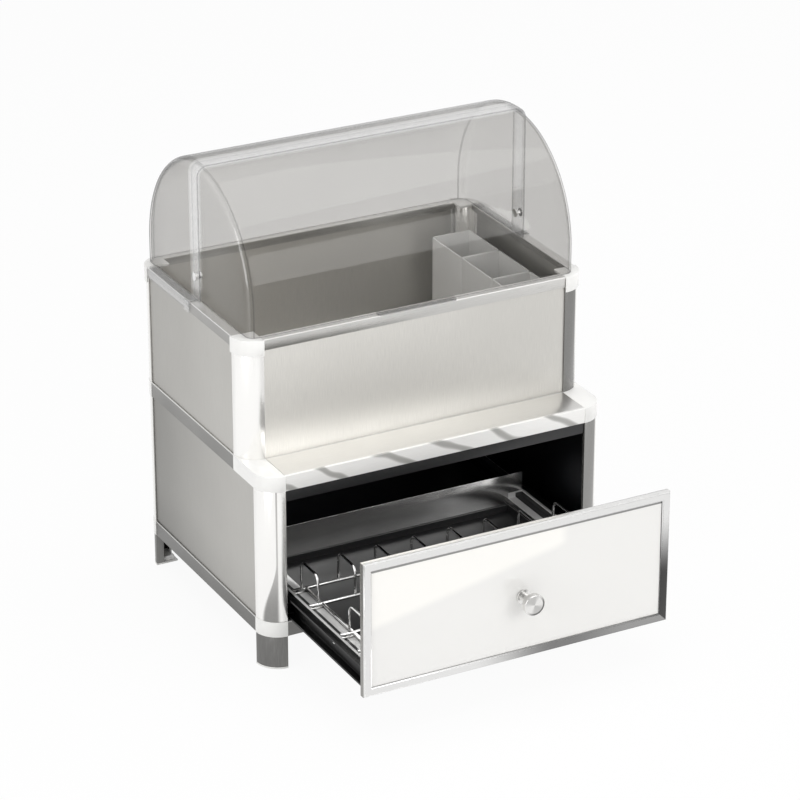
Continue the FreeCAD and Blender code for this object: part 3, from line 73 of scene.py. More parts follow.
LOOP_WIRE, ROD, HAIRPIN_WIRE, LOOP_BEND = 1.5 * MM, 2 * MM, 1.2 * MM, 9 * MM
PLATE_FIRST, PLATE_LAST, PLATE_LOOPS = -188 * MM, 137 * MM, 14
PLATE_HALF, PLATE_TALL, PLATE_BEND, PLATE_ROD_HIGH = 22 * MM, 62 * MM, 4 * MM, 14 * MM
BOWL_END, BOWL_INSET, BOWL_LOOPS, BOWL_ROWS = 168.5 * MM, 11 * MM, 8, (57 * MM, 171 * MM)
BOWL_HALF, BOWL_TALL, BOWL_ROD_HIGH, BOWL_BAR_HIGH = 20 * MM, 34 * MM, 3 * MM, 2.6 * MM
BAR_INSET, HAIRPIN_HALF = 16 * MM, 4 * MM

# Knob: foot, neck and head, and the small flat that closes each end on the axis

FOOT_RADIUS, FOOT_THICK, FOOT_EDGE = 8.5 * MM, 2.5 * MM, 0.3 * MM
NECK_RADIUS, NECK_BLEND = 4.6 * MM, 3 * MM
HEAD_THICK, BACK_EDGE, FACE_EDGE, FACE_RIM, FACE_HOLLOW = 7 * MM, 1 * MM, 1.5 * MM, 4 * MM, 0.8 * MM
CAP_RADIUS = 0.2 * MM

# Slide balls, and the screws on the slide channels, placed from the channels' front

BALL = 1.85 * MM
SCREW_HIGH, SCREW_RADIUS, SCREW_TOP, SCREW_PLACES = 1.1 * MM, 2.8 * MM, 0.1 * MM, (6 * MM, 82 * MM)

# Profiles that the finishes and racks follow

POST_ROUND, FRAME_BAR, CHANNEL_WEB = 26 * MM, 10 * MM, 1.2 * MM
LEDGE_LEVEL, LEDGE_WIDE = 78 * MM, 19 * MM
GLASS_REBATE, GLASS_SHADOW_LINE = 3 * MM, 2.6 * MM


def corners_of(node):
    """Lowest and highest corner of a CAD node as arrays, in metres."""
    low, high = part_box(node)
    return np.array(low), np.array(high)


# Places read from the frame

LOWER_LOW, LOWER_HIGH = corners_of("lower_post_back_right")
UPPER_HIGH = corners_of("upper_post_back_right")[1]
SIDE_LOW, SIDE_HIGH = corners_of("lower_panel_right")
BACK_LOW, BACK_HIGH = corners_of("lower_panel_back")
RIM_TOP, LEDGE_TOP, BASE_TOP = (corners_of(f"{tier}_rail_left")[1][2] for tier in ("rim", "ledge", "base"))
KNOB_LOW, KNOB_HIGH = corners_of("drawer_knob")
TANK_LOW, TANK_HIGH = corners_of("tank_floor")
TRAY_FRONT = corners_of("drawer_tray")[0][1]
HINGE = np.array(next(j["pos_m"] for j in frame["joints"] if j["name"] == "lid_hinge"))
KNOB_CENTRE = tuple((KNOB_LOW + KNOB_HIGH) / 2)
TANK_MIDDLE = (TANK_LOW[1] + TANK_HIGH[1]) / 2

# Shader maths; brushed metal has a grain of 60 waves per metre along it, and 60 times as many across it

GRAIN = 60


def grey(level, warmth=0.0):
    """Neutral colour, a little more yellow, or bluer where the warmth is below zero."""
    return (level * (1 + 0.4 * warmth), level, level * (1 - warmth), 1.0)


class Field:
    """A shader socket that takes part in Python expressions; each operation adds a Math node."""

    def __init__(self, paint, socket):
        self.paint, self.socket = paint, socket

    def _math(self, operation, *values):
        return self.paint.add("ShaderNodeMath", {"operation": operation}, dict(enumerate(values)))

    def __add__(self, other):
        return self._math("ADD", self, other)

    __radd__ = __add__

    def __sub__(self, other):
        return self._math("SUBTRACT", self, other)

    def __rsub__(self, other):
        return self._math("SUBTRACT", other, self)

    def __mul__(self, other):
        return self._math("MULTIPLY", self, other)

    __rmul__ = __mul__

    def __truediv__(self, other):
        return self._math("DIVIDE", self, other)

    def __abs__(self):
        return self._math("ABSOLUTE", self)

    def above(self, level):
        """1 where the value is over a level, else 0."""
        return self._math("GREATER_THAN", self, level)

    def larger(self, other):
        """The larger of two values."""
        return self._math("MAXIMUM", self, other)

    def power(self, exponent):
        """The value raised to a power."""
        return self._math("POWER", self, exponent)

    def sine(self):
        """Sine of the value."""
        return self._math("SINE", self)

    def root(self):
        """Square root of the value."""
        return self._math("SQRT", self)

    def turn_from(self, across):
        """Angle whose tangent is this value over the other one."""
        return self._math("ARCTAN2", self, across)

    def ramp(self, low, high, to_low=0.0, to_high=1.0):
        """Maps low..high onto to_low..to_high smoothly, held at both ends."""
        inputs = {0: self, 1: low, 2: high, 3: to_low, 4: to_high}
        return self.paint.add("ShaderNodeMapRange", {"interpolation_type": "SMOOTHSTEP"}, inputs)


class Paint:
    """A node tree under construction, patterned on Object coordinates in metres."""

    def __init__(self, name, data=None, output="ShaderNodeOutputMaterial"):
        self.material = data or bpy.data.materials.new(name)
        self.material.use_nodes = True
        self.tree = self.material.node_tree
        self.tree.nodes.clear()
        self.output = self.tree.nodes.new(output)

    def add(self, kind, settings=None, inputs=None, out=0):
        """Adds a node, sets it up, fills or links its sockets and gives one of its outputs."""
        node = self.tree.nodes.new(kind)
        for key, setting in (settings or {}).items():
            setattr(node, key, setting)
        for key, value in (inputs or {}).items():
            if isinstance(value, Field):
                self.tree.links.new(value.socket, node.inputs[key])
            else:
                node.inputs[key].default_value = value
        return Field(self, node.outputs[out])

    def place(self, scale=(1, 1, 1), centre=(0, 0, 0)):
        """Object coordinates measured from a centre and stretched."""
        spot = self.add("ShaderNodeTexCoord", out="Object")
        away = self.add("ShaderNodeVectorMath", {"operation": "SUBTRACT"}, {0: spot, 1: centre})
        return self.add("ShaderNodeVectorMath", {"operation": "MULTIPLY"}, {0: away, 1: scale})

    def axes(self, centre=(0, 0, 0)):
        """The three coordinates measured from a centre."""
        split = self.add("ShaderNodeSeparateXYZ", None, {0: self.place(centre=centre)})
        return [Field(self, socket) for socket in split.socket.node.outputs]

    def noise(self, waves, detail=2.0, rough=0.5, **place):
        """Fractal noise between 0 and 1 at a number of waves per metre."""
        inputs = {"Vector": self.place(**place), "Scale": waves, "Detail": detail, "Roughness": rough}
        return self.add("ShaderNodeTexNoise", None, inputs)

    def grain(self, along, detail=4.0, rough=0.7):
        """Fine streaks along an axis: noise stretched along it."""
        return self.noise(GRAIN, detail, rough, scale=tuple(1 if axis == along else GRAIN for axis in "xyz"))

    def blend(self, factor, first, second):
        """Colour between two colours."""
        return self.add("ShaderNodeMix", {"data_type": "RGBA"}, {0: factor, 6: first, 7: second}, out=2)

    def shades(self, factor, level, low, high, warmth=0.0):
        """Grey between two shares of a level."""
        return self.blend(factor, grey(level * low, warmth), grey(level * high, warmth))

    def bump(self, height, depth):
        """Normal from a height that is depth metres tall."""
        return self.add("ShaderNodeBump", None, {"Strength": 1.0, "Distance": depth, "Height": height})

    def principled(self, **sockets):
        """Principled shader; in a socket's name an underscore stands for a space."""
        inputs = {key.replace("_", " "): value for key, value in sockets.items()}
        return self.add("ShaderNodeBsdfPrincipled", None, inputs)

    def see_through(self, colour):
        """Clear shader that filters the light by a colour."""
        return self.add("ShaderNodeBsdfTransparent", None, {"Color": colour})

    def mixed(self, factor, first, second):
        """Shader between two shaders."""
        return self.add("ShaderNodeMixShader", None, {0: factor, 1: first, 2: second})

    def rays(self, *kinds):
        """For each kind of ray, 1 where the surface is met by it, else 0."""
        return [self.add("ShaderNodeLightPath", out=f"Is {kind} Ray") for kind in kinds]

    def finish(self, shader):
        """Makes a shader the surface of the material or world."""
        self.tree.links.new(shader.socket, self.output.inputs["Surface"])
        return self.material


# Materials


def brushed_metal(name, level, along, rough=0.28, streak=0.10, warmth=0.01):
    """Brushed metal: long fine streaks along one axis of the piece, with broad soft clouds over them.

    The streaks move colour, roughness and height.
    """
    paint = Paint(name)
    fine, broad = paint.grain(along), paint.noise(9)
    streaks = fine.ramp(0.25, 0.75)
    colour = paint.shades(streaks, level, 1 - streak, 1 + streak * 0.6, warmth)
    colour = paint.blend(broad.ramp(0.3, 0.7, 0.0, 0.35), colour, grey(level * 0.9, warmth))
    return paint.finish(paint.principled(Base_Color=colour, Metallic=1.0, Normal=paint.bump(fine, 2 * MICRON),
                                         Roughness=streaks * 0.10 + broad * 0.08 + (rough - 0.09)))


def sheet_steel(name, level, inside_shade_level, back_shade_share, right_shade_share=1.0, rough=0.36):
    """Brushed sheet with upright grain, painted shade that softly darkens it towards its back, right and foot, and
    a dark painted shade inside.

    A face looks into the drawer case where it lies between the sheets' middles on both sides and under the
    ledge.
    """
    paint = Paint(name)
    fine, broad = paint.grain("z"), paint.noise(7)
    streaks = fine.ramp(0.25, 0.75)
    x, y, z = paint.axes()
    middle_x, middle_y = (SIDE_LOW[0] + SIDE_HIGH[0]) / 2, (BACK_LOW[1] + BACK_HIGH[1]) / 2
    # Painted shade: faces inside the drawer case take the dark inside level.
    inside = (1 - abs(x).above(middle_x)) * (1 - y.above(middle_y)) * (1 - z.above(SIDE_HIGH[2] + 4 * MM))
    # Painted shade: the sheet darkens towards its back, its right and its foot.
    painted_shade_fall = y.ramp(-0.10, 0.16, 1.0, back_shade_share) * x.ramp(-0.19, 0.19, 1.0, right_shade_share)
    painted_shade_fall = painted_shade_fall * z.ramp(0.05, 0.12, 0.85, 1.0)
    colour = paint.shades(streaks, level, 0.87, 1.06, 0.05)
    colour = paint.blend(broad.ramp(0.3, 0.7, 0.0, 0.5), colour, grey(level * 0.88, 0.05))
    colour = paint.blend(painted_shade_fall, grey(0.0), colour)
    colour = paint.blend(inside, colour, grey(inside_shade_level, -0.1))
    return paint.finish(paint.principled(Base_Color=colour, Metallic=1.0, Normal=paint.bump(fine, 2 * MICRON),
                                         Roughness=streaks * 0.08 + broad * 0.08 + (rough - 0.08)))


def post_metal(name, light, dark, high, middle_y, wedge):
    """Polished post profile: bright, with soft dark upright bands of painted reflection set by the direction round
    its rounding.

    The direction is the angle from the side towards the front or back. The front right-hand post is painted dark
    from its middle to its front, and the others have one narrow band of painted reflection that flares towards
    their foot by the wedge.
    """
    paint = Paint(name)
    x, y, z = paint.axes((0, middle_y, 0))
    to_side, to_front = abs(x) - (high[0] - POST_ROUND), abs(y) - (high[1] - middle_y - POST_ROUND)
    turn = to_front.turn_from(to_side)
    cloud = paint.noise(14, scale=(1, 1, 0.3))
    flare = 1 - z.ramp(LOWER_LOW[2], LOWER_LOW[2] + 72 * MM)
    # Painted reflection: a dark upright band in the base colour, and a painted darker tone near the side and
    # front.
    band = 1 - (abs(turn - (1.15 - flare * 0.3)) / (flare * wedge + 0.05)).ramp(0.5, 1.0)
    left = band * (flare * 0.35 + 0.65) * (wedge / (wedge + 0.02))
    painted_side_reflection = (1 - turn.ramp(0.0, 0.5)) * 0.25 + turn.ramp(1.2, 1.5) * 0.35
    right = turn.ramp(0.75, 0.95) * 0.9
    on_right = x.above(0) * (1 - y.above(0))
    factor = on_right * right + (1 - on_right) * (left + painted_side_reflection) + (cloud - 0.5) * 0.3
    fine = paint.grain("z", 3.0, 0.6)
    colour = paint.blend(factor.ramp(0.0, 1.0), grey(light, 0.02), grey(dark, 0.03))
    return paint.finish(paint.principled(Base_Color=colour, Metallic=0.8, Roughness=fine * 0.08 + 0.18,
                                         Normal=paint.bump(fine, 0.5 * MICRON)))


def rail_metal(name, level, along, top, highlight_level, rough=0.3):
    """Brushed rail with a thin painted highlight along its top edge, down to 1.2 mm under its top."""
    paint = Paint(name)
    fine, broad = paint.grain(along), paint.noise(9)
    streaks = fine.ramp(0.25, 0.75)
    _, _, z = paint.axes()
    colour = paint.shades(streaks, level, 0.85, 1.1, 0.03)
    colour = paint.blend(broad.ramp(0.3, 0.7, 0.0, 0.5), colour, grey(level * 0.75, 0.03))
    # Painted highlight along the rounded top edge.
    colour = paint.blend(z.above(top - 1.2 * MM), colour, grey(highlight_level, 0.02))
    return paint.finish(paint.principled(Base_Color=colour, Metallic=1.0, Normal=paint.bump(fine, 2 * MICRON),
                                         Roughness=streaks * 0.1 + broad * 0.08 + rough))


def polished_rail(name, level):
    """Polished cross rail: pale and satin, with soft slanting dark bands of painted reflection of what lies under
    it.
    """
    paint = Paint(name)
    fine, drift = paint.grain("x"), paint.noise(13)
    x, _, z = paint.axes()
    # Painted reflection: slanting dark stripes in the base colour.
    bands = ((x * 90 + z * 160 + drift * 5).sine() * 0.5 + 0.5).ramp(0.8, 1.0)
    colour = paint.shades(fine.ramp(0.25, 0.75), level, 0.96, 1.04, 0.02)
    colour = paint.blend(bands * 0.8, colour, grey(level * 0.34, 0.05))
    return paint.finish(paint.principled(Base_Color=colour, Metallic=0.1, Roughness=drift * 0.1 + 0.2,
                                         Normal=paint.bump(fine, 0.6 * MICRON)))


def frame_metal(name, level):
    """Satin frame of the drawer front: painted shade along the returns round the glass and on its outer end faces,
    and a painted dark reflection at lower right.

    The mitre divides the dark reflection: it fills the lower half of the right bar, and along the low bar it has
    its darkest place right of the middle.
    """
    paint = Paint(name)
    low, high = corners_of("drawer_frame")
    fine, broad = paint.grain("x"), paint.noise(11)
    x, y, z = paint.axes((0, low[1], (low[2] + high[2]) / 2))
    half_x, half_z = high[0], (high[2] - low[2]) / 2
    inner = 0.25 * MM - FRAME_BAR
    # Painted shade on the returns round the glass, darkest under the upper bar, and on the outer end faces.
    lines = (1 - abs(x).above(half_x + inner)) * (1 - abs(z).above(half_z + inner))
    ends = abs(x).above(half_x - 0.25 * MM) * y.above(1.2 * MM)
    # Painted dark reflection over the lower right of the frame.
    right_bar = (x + z).above(half_x - half_z)
    right_reflection_tone = (1 - z.ramp(-0.02, 0.055)) * (broad * 0.1 + 0.9)
    low_reflection_tone = x.ramp(-0.06, 0.045) * (1 - x.ramp(0.06, 0.14) * 0.2) * (1 - z.above(0)) * 0.75
    painted_dark_reflection = right_bar * right_reflection_tone + (1 - right_bar) * low_reflection_tone
    colour = paint.shades(fine.ramp(0.25, 0.75), level, 0.97, 1.02, 0.01)
    colour = paint.blend(painted_dark_reflection, colour, grey(level * 0.05))
    colour = paint.blend(ends, colour, grey(level * 0.45, 0.04))
    colour = paint.blend(lines, colour, paint.shades(z.above(0), level, 0.4, 0.1, 0.02))
    return paint.finish(paint.principled(Base_Color=colour, Metallic=1.0, Roughness=broad * 0.08 + 0.22,
                                         Normal=paint.bump(fine, 0.6 * MICRON)))


def channel_steel(name, level, highlight_level):
    """Blackened slide channel: a painted highlight along the top of its web and a duller painted highlight lower
    down.
    """
    paint = Paint(name)
    high = corners_of("slide_channel_left")[1]
    fine = paint.grain("y")
    x, _, z = paint.axes((0, 0, high[2]))
    streaks = fine.ramp(0.25, 0.75)
    # Painted highlight along the top edge, made less metallic so that it reads bright, and a duller one lower
    # down.
    line = (1 - abs(x).above(abs(high[0]) + 1.6 * MM)) * z.above(-2.2 * MM)
    dull_painted_highlight = z.above(-4.2 * MM) * (1 - z.above(-3.4 * MM))
    colour = paint.shades(streaks, level, 0.8, 1.3)
    colour = paint.blend(line, colour, grey(highlight_level, 0.01))
    colour = paint.blend(dull_painted_highlight, colour, grey(highlight_level * 0.35))
    return paint.finish(paint.principled(Base_Color=colour, Metallic=1 - line * 0.7,
                                         Roughness=streaks * 0.12 + 0.3, Normal=paint.bump(fine, 2 * MICRON)))


def tray_metal(name, level, dark):
    """Polished tray: a painted highlight on the lips and ledges along its sides; the ledges' outer half and side
    walls carry painted shade.
    """
    paint = Paint(name)
    low, high = corners_of("slide_channel_right")
    fine, broad = paint.grain("y"), paint.noise(9)
    x, _, z = paint.axes()
    # Painted shade on the side walls and the ledges' outer half.
    side = abs(x).above(low[0] - LEDGE_WIDE / 2) * (1 - z.above(high[2] - 0.6 * MM))
    # Painted highlight: a pale, less metallic band over the lips and ledges.
    pale = abs(x).above(low[0] - LEDGE_WIDE)
    pale = pale * z.above(high[2] - 6.5 * MM) * (1 - z.above(high[2] + 1.2 * MM))
    colour = paint.shades(fine.ramp(0.25, 0.75), level, 0.94, 1.04, 0.01)
    colour = paint.blend(pale, colour, grey(level * 1.2, 0.01))
    colour = paint.blend(side, colour, grey(dark))
    return paint.finish(paint.principled(Base_Color=colour, Metallic=1 - pale * 0.75,
                                         Roughness=broad * 0.08 + 0.12, Normal=paint.bump(fine, MICRON)))


def plastic(name, colour, rough, coat=0.0):
    """Moulded plastic: a faint orange-peel surface and a slightly uneven gloss."""
    paint = Paint(name)
    peel, cloud = paint.noise(900), paint.noise(25, 3.0)
    darker = tuple(channel * 0.94 for channel in colour[:3]) + (1.0,)
    tone = paint.blend(cloud.ramp(0.35, 0.75, 0.0, 0.5), colour, darker)
    return paint.finish(paint.principled(Base_Color=tone, Coat_Weight=coat, IOR=1.5,
                                         Roughness=cloud * 0.10 + (rough - 0.05),
                                         Normal=paint.bump(peel, 4 * MICRON)))


def clear_plastic(name, tint):
    """Clear sheet: see-through with a smoky tint, mirror-like at grazing angles, with painted highlight and shade
    lines along its bends.

    The share of gloss is 0.03 plus 0.96 times the fifth power of one minus the cosine of the angle of view.
    It grows where the two lids overlap and on the flanges, which are painted more see-through as a pale sheen, and
    in a thin painted highlight where the attribute "bend", 0 on the end and 1 on the barrel, is about a half. A
    thin painted dark line follows where it is about 0.8, and another along the silhouette.
    """
    paint = Paint(name)
    facing = paint.add("ShaderNodeLayerWeight", None, {"Blend": 0.5}, out="Facing")
    bend = paint.add("ShaderNodeAttribute", {"attribute_name": "bend"}, out="Fac")
    wave = paint.noise(14, 1.0)
    x, y, _ = paint.axes(tuple(HINGE))
    # Painted sheen: the overlap strips and flanges are more see-through and take extra pale gloss.
    painted_clear_sheen = (1 - abs(y).above(LID_PAST)).larger(abs(x).above(REAR_HALF + 0.3 * MM))
    # Painted highlight along the middle of each bend, and a painted dark line further along it.
    bright = 1 - (abs(bend - 0.5) * 9).ramp(0.3, 1.0)
    dark = 1 - (abs(bend - 0.8) * 22).ramp(0.3, 1.0)
    rounding = bend.above(0.02) * (1 - bend.above(0.98))
    # Painted dark line along the silhouette and, fainter, over the rounding.
    outline = (facing.ramp(0.8, 0.95) * 0.4).larger(facing.ramp(0.6, 0.8) * rounding * 0.5)
    share = facing.power(5) * 0.96 + wave * 0.01 + painted_clear_sheen * 0.10 + bright * 0.05 + 0.03
    through = paint.mixed(painted_clear_sheen, paint.see_through(tint), paint.see_through(grey(0.975)))
    colour = paint.blend(bright.larger(painted_clear_sheen), grey(0.45, 0.01), grey(0.95))
    gloss = paint.principled(Base_Color=colour, Metallic=1.0, Roughness=0.03,
                             Normal=paint.bump(wave, 40 * MICRON))
    shade = paint.principled(Base_Color=grey(0.05), Roughness=0.3)
    return paint.finish(paint.mixed((dark * 0.26).larger(outline), paint.mixed(share, through, gloss), shade))


def clear_rim(name, level):
    """Cut rim of the clear sheet, seen as a thin darker line: mostly see-through, partly smoky."""
    paint = Paint(name)
    streak = paint.noise(160)
    smoky = paint.principled(Base_Color=grey(level, -0.004), Roughness=0.12, IOR=1.49)
    return paint.finish(paint.mixed(streak * 0.3 + 0.25, paint.see_through(grey(0.92, -0.004)), smoky))


def white_glass(name):
    """Back-painted glass: warm white under a smooth clear coat, with a painted reflection that makes it a touch
    brighter above a soft slanting line.

    A dark painted shadow of the frame's upper bar runs along the glass's top.
    """
    paint = Paint(name)
    low, high = corners_of("drawer_glass")
    x, _, z = paint.axes((low[0], 0, low[2]))
    cloud = paint.noise(5)
    # Painted reflection: a touch brighter above a slanting line.
    over = (z - x * 0.2 - 0.070).ramp(-0.006, 0.006) * (1 - x.ramp(0.225, 0.24))
    # Painted shadow of the frame's upper bar along the glass's top.
    painted_rebate_shadow = z.above(high[2] - low[2] - GLASS_REBATE - GLASS_SHADOW_LINE)
    colour = paint.blend(cloud, grey(0.87, 0.02), grey(0.84, 0.03))
    colour = paint.blend(over, colour, grey(0.96, 0.04))
    colour = paint.blend(painted_rebate_shadow * 0.85, colour, grey(0.12))
    return paint.finish(paint.principled(Base_Color=colour, Roughness=cloud * 0.04 + 0.08, IOR=1.52,
                                         Coat_Weight=1.0, Coat_Roughness=0.02))


def turned_metal(name, level, centre):
    """Turned metal: fine rings about the Y axis through a centre, with two soft wedges of painted reflection
    across them.

    The rings are a sine of the distance to the axis, the wedges a sine of twice the angle round it. The edge
    of the head has painted shade at its lower right.
    """
    paint = Paint(name)
    x, _, z = paint.axes(centre)
    radius = (x * x + z * z).root()
    turn = z.turn_from(x)
    # Painted reflection: two soft bright and dark wedges in the base colour.
    wedge = ((turn * 2 + 0.6).sine() * 0.5 + 0.5).ramp(0.15, 0.9)
    speck = paint.noise(500, 3.0)
    # Painted shade on the head's edge at its lower right.
    painted_low_right_shade = ((turn + 2.3).sine() * 0.5 + 0.5).ramp(0.3, 0.9)
    rim = radius.ramp(8.8 * MM, 10.4 * MM) * painted_low_right_shade
    colour = paint.shades(wedge, level, 0.68, 1.02, 0.02)
    colour = paint.blend(rim * 0.95, colour, grey(level * 0.12, 0.02))
    return paint.finish(paint.principled(Base_Color=colour, Metallic=1.0, Roughness=speck * 0.1 + 0.16,
                                         Normal=paint.bump((radius * 9000).sine(), 4 * MICRON)))


# Finishes of the CAD nodes

LOWER_POST = post_metal("lower_post", 0.95, 0.28, LOWER_HIGH, 0.0, 0.42)
UPPER_POST = post_metal("upper_post", 0.97, 0.22, UPPER_HIGH, TANK_MIDDLE, 0.0)
# The side finishes are darker copies of the front, back and cross ones: painted shade on the faces turned from the
# light.
PANEL_FRONT = sheet_steel("panel_front", 0.83, 0.03, 1.0, right_shade_share=0.76, rough=0.48)
PANEL_SIDE_SHADED = sheet_steel("panel_side", 0.54, 0.03, 0.78)
CASE_SIDE_SHADED = sheet_steel("case_side", 0.50, 0.14, 0.55)
CASE_BACK = sheet_steel("case_back", 0.72, 0.14, 1.0, rough=0.48)
RIM_SIDE_SHADED = rail_metal("rim_side", 0.42, "y", RIM_TOP, 0.75, rough=0.22)
RIM_CROSS = rail_metal("rim_cross", 0.66, "x", RIM_TOP, 0.80, rough=0.22)
LEDGE_SIDE = rail_metal("ledge_side", 0.30, "y", LEDGE_TOP, 0.75)
LEDGE_CROSS = rail_metal("ledge_cross", 0.30, "x", LEDGE_TOP, 0.6)
BASE_SIDE = rail_metal("base_side", 0.22, "y", BASE_TOP, 0.60)
BASE_CROSS = rail_metal("base_cross", 0.18, "x", BASE_TOP, 0.40)
RAIL_POLISH = polished_rail("rail_polish", 0.95)
LEDGE_STEEL = brushed_metal("ledge_steel", 0.70, "x", rough=0.34, streak=0.08, warmth=0.03)
# Near-black base panel: painted shade inside the closed drawer case.
BASE_PAINTED_SHADE = brushed_metal("base_dark", 0.03, "x", rough=0.45)
FOOT_METAL = brushed_metal("foot_metal", 0.19, "z", rough=0.34, streak=0.3, warmth=0.03)
FRAME_METAL = frame_metal("frame_metal", 0.80)
TRAY_STEEL = tray_metal("tray_steel", 0.74, 0.08)
CAGE_STEEL = brushed_metal("cage_steel", 0.72, "y", rough=0.18, streak=0.06)
WIRE_STEEL = brushed_metal("wire_steel", 0.80, "x", rough=0.15, streak=0.05)
BLACK_STEEL = brushed_metal("black_steel", 0.045, "y", rough=0.36, streak=0.2)
CHANNEL_STEEL = channel_steel("channel_steel", 0.045, 0.95)
WHITE_PLASTIC = plastic("white_plastic", (0.93, 0.925, 0.905, 1.0), 0.24, coat=0.3)
BLACK_PLASTIC = plastic("black_plastic", (0.018, 0.018, 0.019, 1.0), 0.38)
CUP_PLASTIC = plastic("cup_plastic", (0.84, 0.84, 0.83, 1.0), 0.30)
CLEAR = clear_plastic("clear_lid", (0.888, 0.884, 0.878, 1.0))
CLEAR_RIM = clear_rim("clear_rim", 0.38)
GLASS = white_glass("white_glass")
KNOB_METAL = turned_metal("turned_knob", 0.80, KNOB_CENTRE)

NAMED_FINISHES = {
    "feet": FOOT_METAL, "ledge_plate": LEDGE_STEEL, "tank_floor": LEDGE_STEEL, "base_panel": BASE_PAINTED_SHADE,
    "drawer_tray": TRAY_STEEL, "drawer_frame": FRAME_METAL, "drawer_glass": GLASS, "drawer_knob": KNOB_METAL,
    "rear_lid": CLEAR, "front_lid": CLEAR, "plate_rack": WIRE_STEEL, "bowl_rack": WIRE_STEEL,
    "utensil_holder": CUP_PLASTIC, "drip_pan": BLACK_PLASTIC, "drawer_stop_strip": BLACK_PLASTIC,
    "lid_pins": WIRE_STEEL, "ball_cages": CAGE_STEEL, "slide_balls": WIRE_STEEL,
    "ledge_rail_front": RAIL_POLISH, "rim_rail_front": RIM_CROSS, "rim_rail_back": RIM_CROSS,
    "rim_rail_left": RIM_SIDE_SHADED, "rim_rail_right": RIM_SIDE_SHADED, "base_rail_front": BASE_CROSS,
    "base_rail_back": BASE_CROSS, "ledge_rail_middle": LEDGE_CROSS, "ledge_rail_back": LEDGE_CROSS,
    "upper_panel_front": PANEL_FRONT, "upper_panel_back": PANEL_FRONT, "lower_panel_back": CASE_BACK,
}
FINISH_STARTS = {
    "lower_post": LOWER_POST, "upper_post": UPPER_POST, "base_rail": BASE_SIDE, "ledge_rail": LEDGE_SIDE,
    "lower_panel": CASE_SIDE_SHADED, "upper_panel": PANEL_SIDE_SHADED, "slide_channel": CHANNEL_STEEL,
    "slide_": BLACK_STEEL,
}


def finish_of(node):
    """Material for a CAD node: its own, or that of its family, or white plastic."""
    if node in NAMED_FINISHES:
        return NAMED_FINISHES[node]
    return next((finish for start, finish in FINISH_STARTS.items() if node.startswith(start)), WHITE_PLASTIC)


# Surfaces


def merged(mesh, flat=None):
    """Merges coinciding points of a mesh, and joins faces that bend by less than an angle."""
    work = bmesh.new()
    work.from_mesh(mesh)
    bmesh.ops.remove_doubles(work, verts=work.verts, dist=MICRON)
    if flat is not None:
        bmesh.ops.dissolve_limit(work, angle_limit=flat, verts=work.verts, edges=work.edges)
    work.to_mesh(mesh)
    work.free()
    return mesh


def outward(points, quads, caps):
    """Quads and caps wound so that the closed surface encloses a positive volume."""
    a, b, c, d = (points[quads[:, i]] for i in range(4))
    volume = np.sum(a * np.cross(b, c)) + np.sum(a * np.cross(c, d))
    for cap in caps:
        ring = points[cap]
        volume += np.sum(ring[0] * np.cross(ring[1:-1], ring[2:]))
    if volume < 0:
        return quads[:, ::-1], [cap[::-1] for cap in caps]
    return quads, caps


def closed(rings):
    """Closed surface over rows of rings: quads between neighbouring rings and a cap on each end ring."""
    count, around = rings.shape[:2]
    points = rings.reshape(-1, 3)
    first = np.arange(count - 1)[:, None] * around
    spot = np.arange(around)[None, :]
    after = (spot + 1) % around
    quads = np.stack([first + spot, first + after, first + around + after, first + around + spot], -1)
    caps = [np.arange(around)[::-1], len(points) - around + np.arange(around)]
    return (points, *outward(points, quads.reshape(-1, 4), caps))


def tube(path, radius, across, sides=12):
    """Wire along a path that lies in a plane: a circle round each point of the path, the ends closed.

    A point is path + radius * (cos t * across + sin t * (direction x across)); across is the plane's normal.
    """
    path, across = np.asarray(path, float), np.asarray(across, float)
    along = np.gradient(path, axis=0)
    along /= np.linalg.norm(along, axis=1)[:, None]
    up = np.cross(along, across)
    t = np.linspace(0, 2 * np.pi, sides, endpoint=False)
    return closed(path[:, None] + radius * (np.cos(t)[:, None] * across + np.sin(t)[:, None] * up[:, None]))


def turned(profile, centre, sides=64):
    """Turned form about the Y axis through a centre, its ends closed.

    A profile row is (y, radius); a point is (centre x + radius * cos t, y, centre z + radius * sin t).
    """
    profile = np.asarray(profile, float)
    t = np.linspace(0, 2 * np.pi, sides, endpoint=False)
    y, radius = profile[:, 0, None], profile[:, 1, None]
    return closed(np.stack([centre[0] + radius * np.cos(t), y + 0 * t, centre[2] + radius * np.sin(t)], -1))


def rounded(corners, bend, steps=7):
    """Path with each inner corner replaced by an arc of the bend radius, for right-angled corners."""
    corners = np.asarray(corners, float)
    rows = [corners[:1]]
    t = np.linspace(0, np.pi / 2, steps)[:, None]
    for before, corner, after in zip(corners[:-2], corners[1:-1], corners[2:]):
        back = (before - corner) / np.linalg.norm(before - corner)
        ahead = (after - corner) / np.linalg.norm(after - corner)
        centre = corner + bend * (back + ahead)
        rows.append(centre - bend * (np.cos(t) * ahead + np.sin(t) * back))
    return np.concatenate(rows + [corners[-1:]])


def extruded(outline, plane, low, high):
    """Bar with one outline, points (a, b) in the plane "xz" or "xy", between two levels of the third axis."""
    outline = np.asarray(outline, float)
    points = np.empty((2, len(outline), 3))
    for column, axis in enumerate(plane):
        points[:, :, "xyz".index(axis)] = outline[:, column]
    points[:, :, 3 - "xyz".index(plane[0]) - "xyz".index(plane[1])] = [[low], [high]]
    return closed(points)


def mesh_of(name, parts):
    """One mesh from several closed surfaces, with coinciding points merged."""
    points, faces, start = [], [], 0
    for spots, quads, caps in parts:
        points.append(spots)
        faces += (quads + start).tolist() + [(np.asarray(cap) + start).tolist() for cap in caps]
        start += len(spots)
    mesh = bpy.data.meshes.new(name)
    mesh.from_pydata(np.concatenate(points).tolist(), [], faces)
    return smooth(merged(mesh))


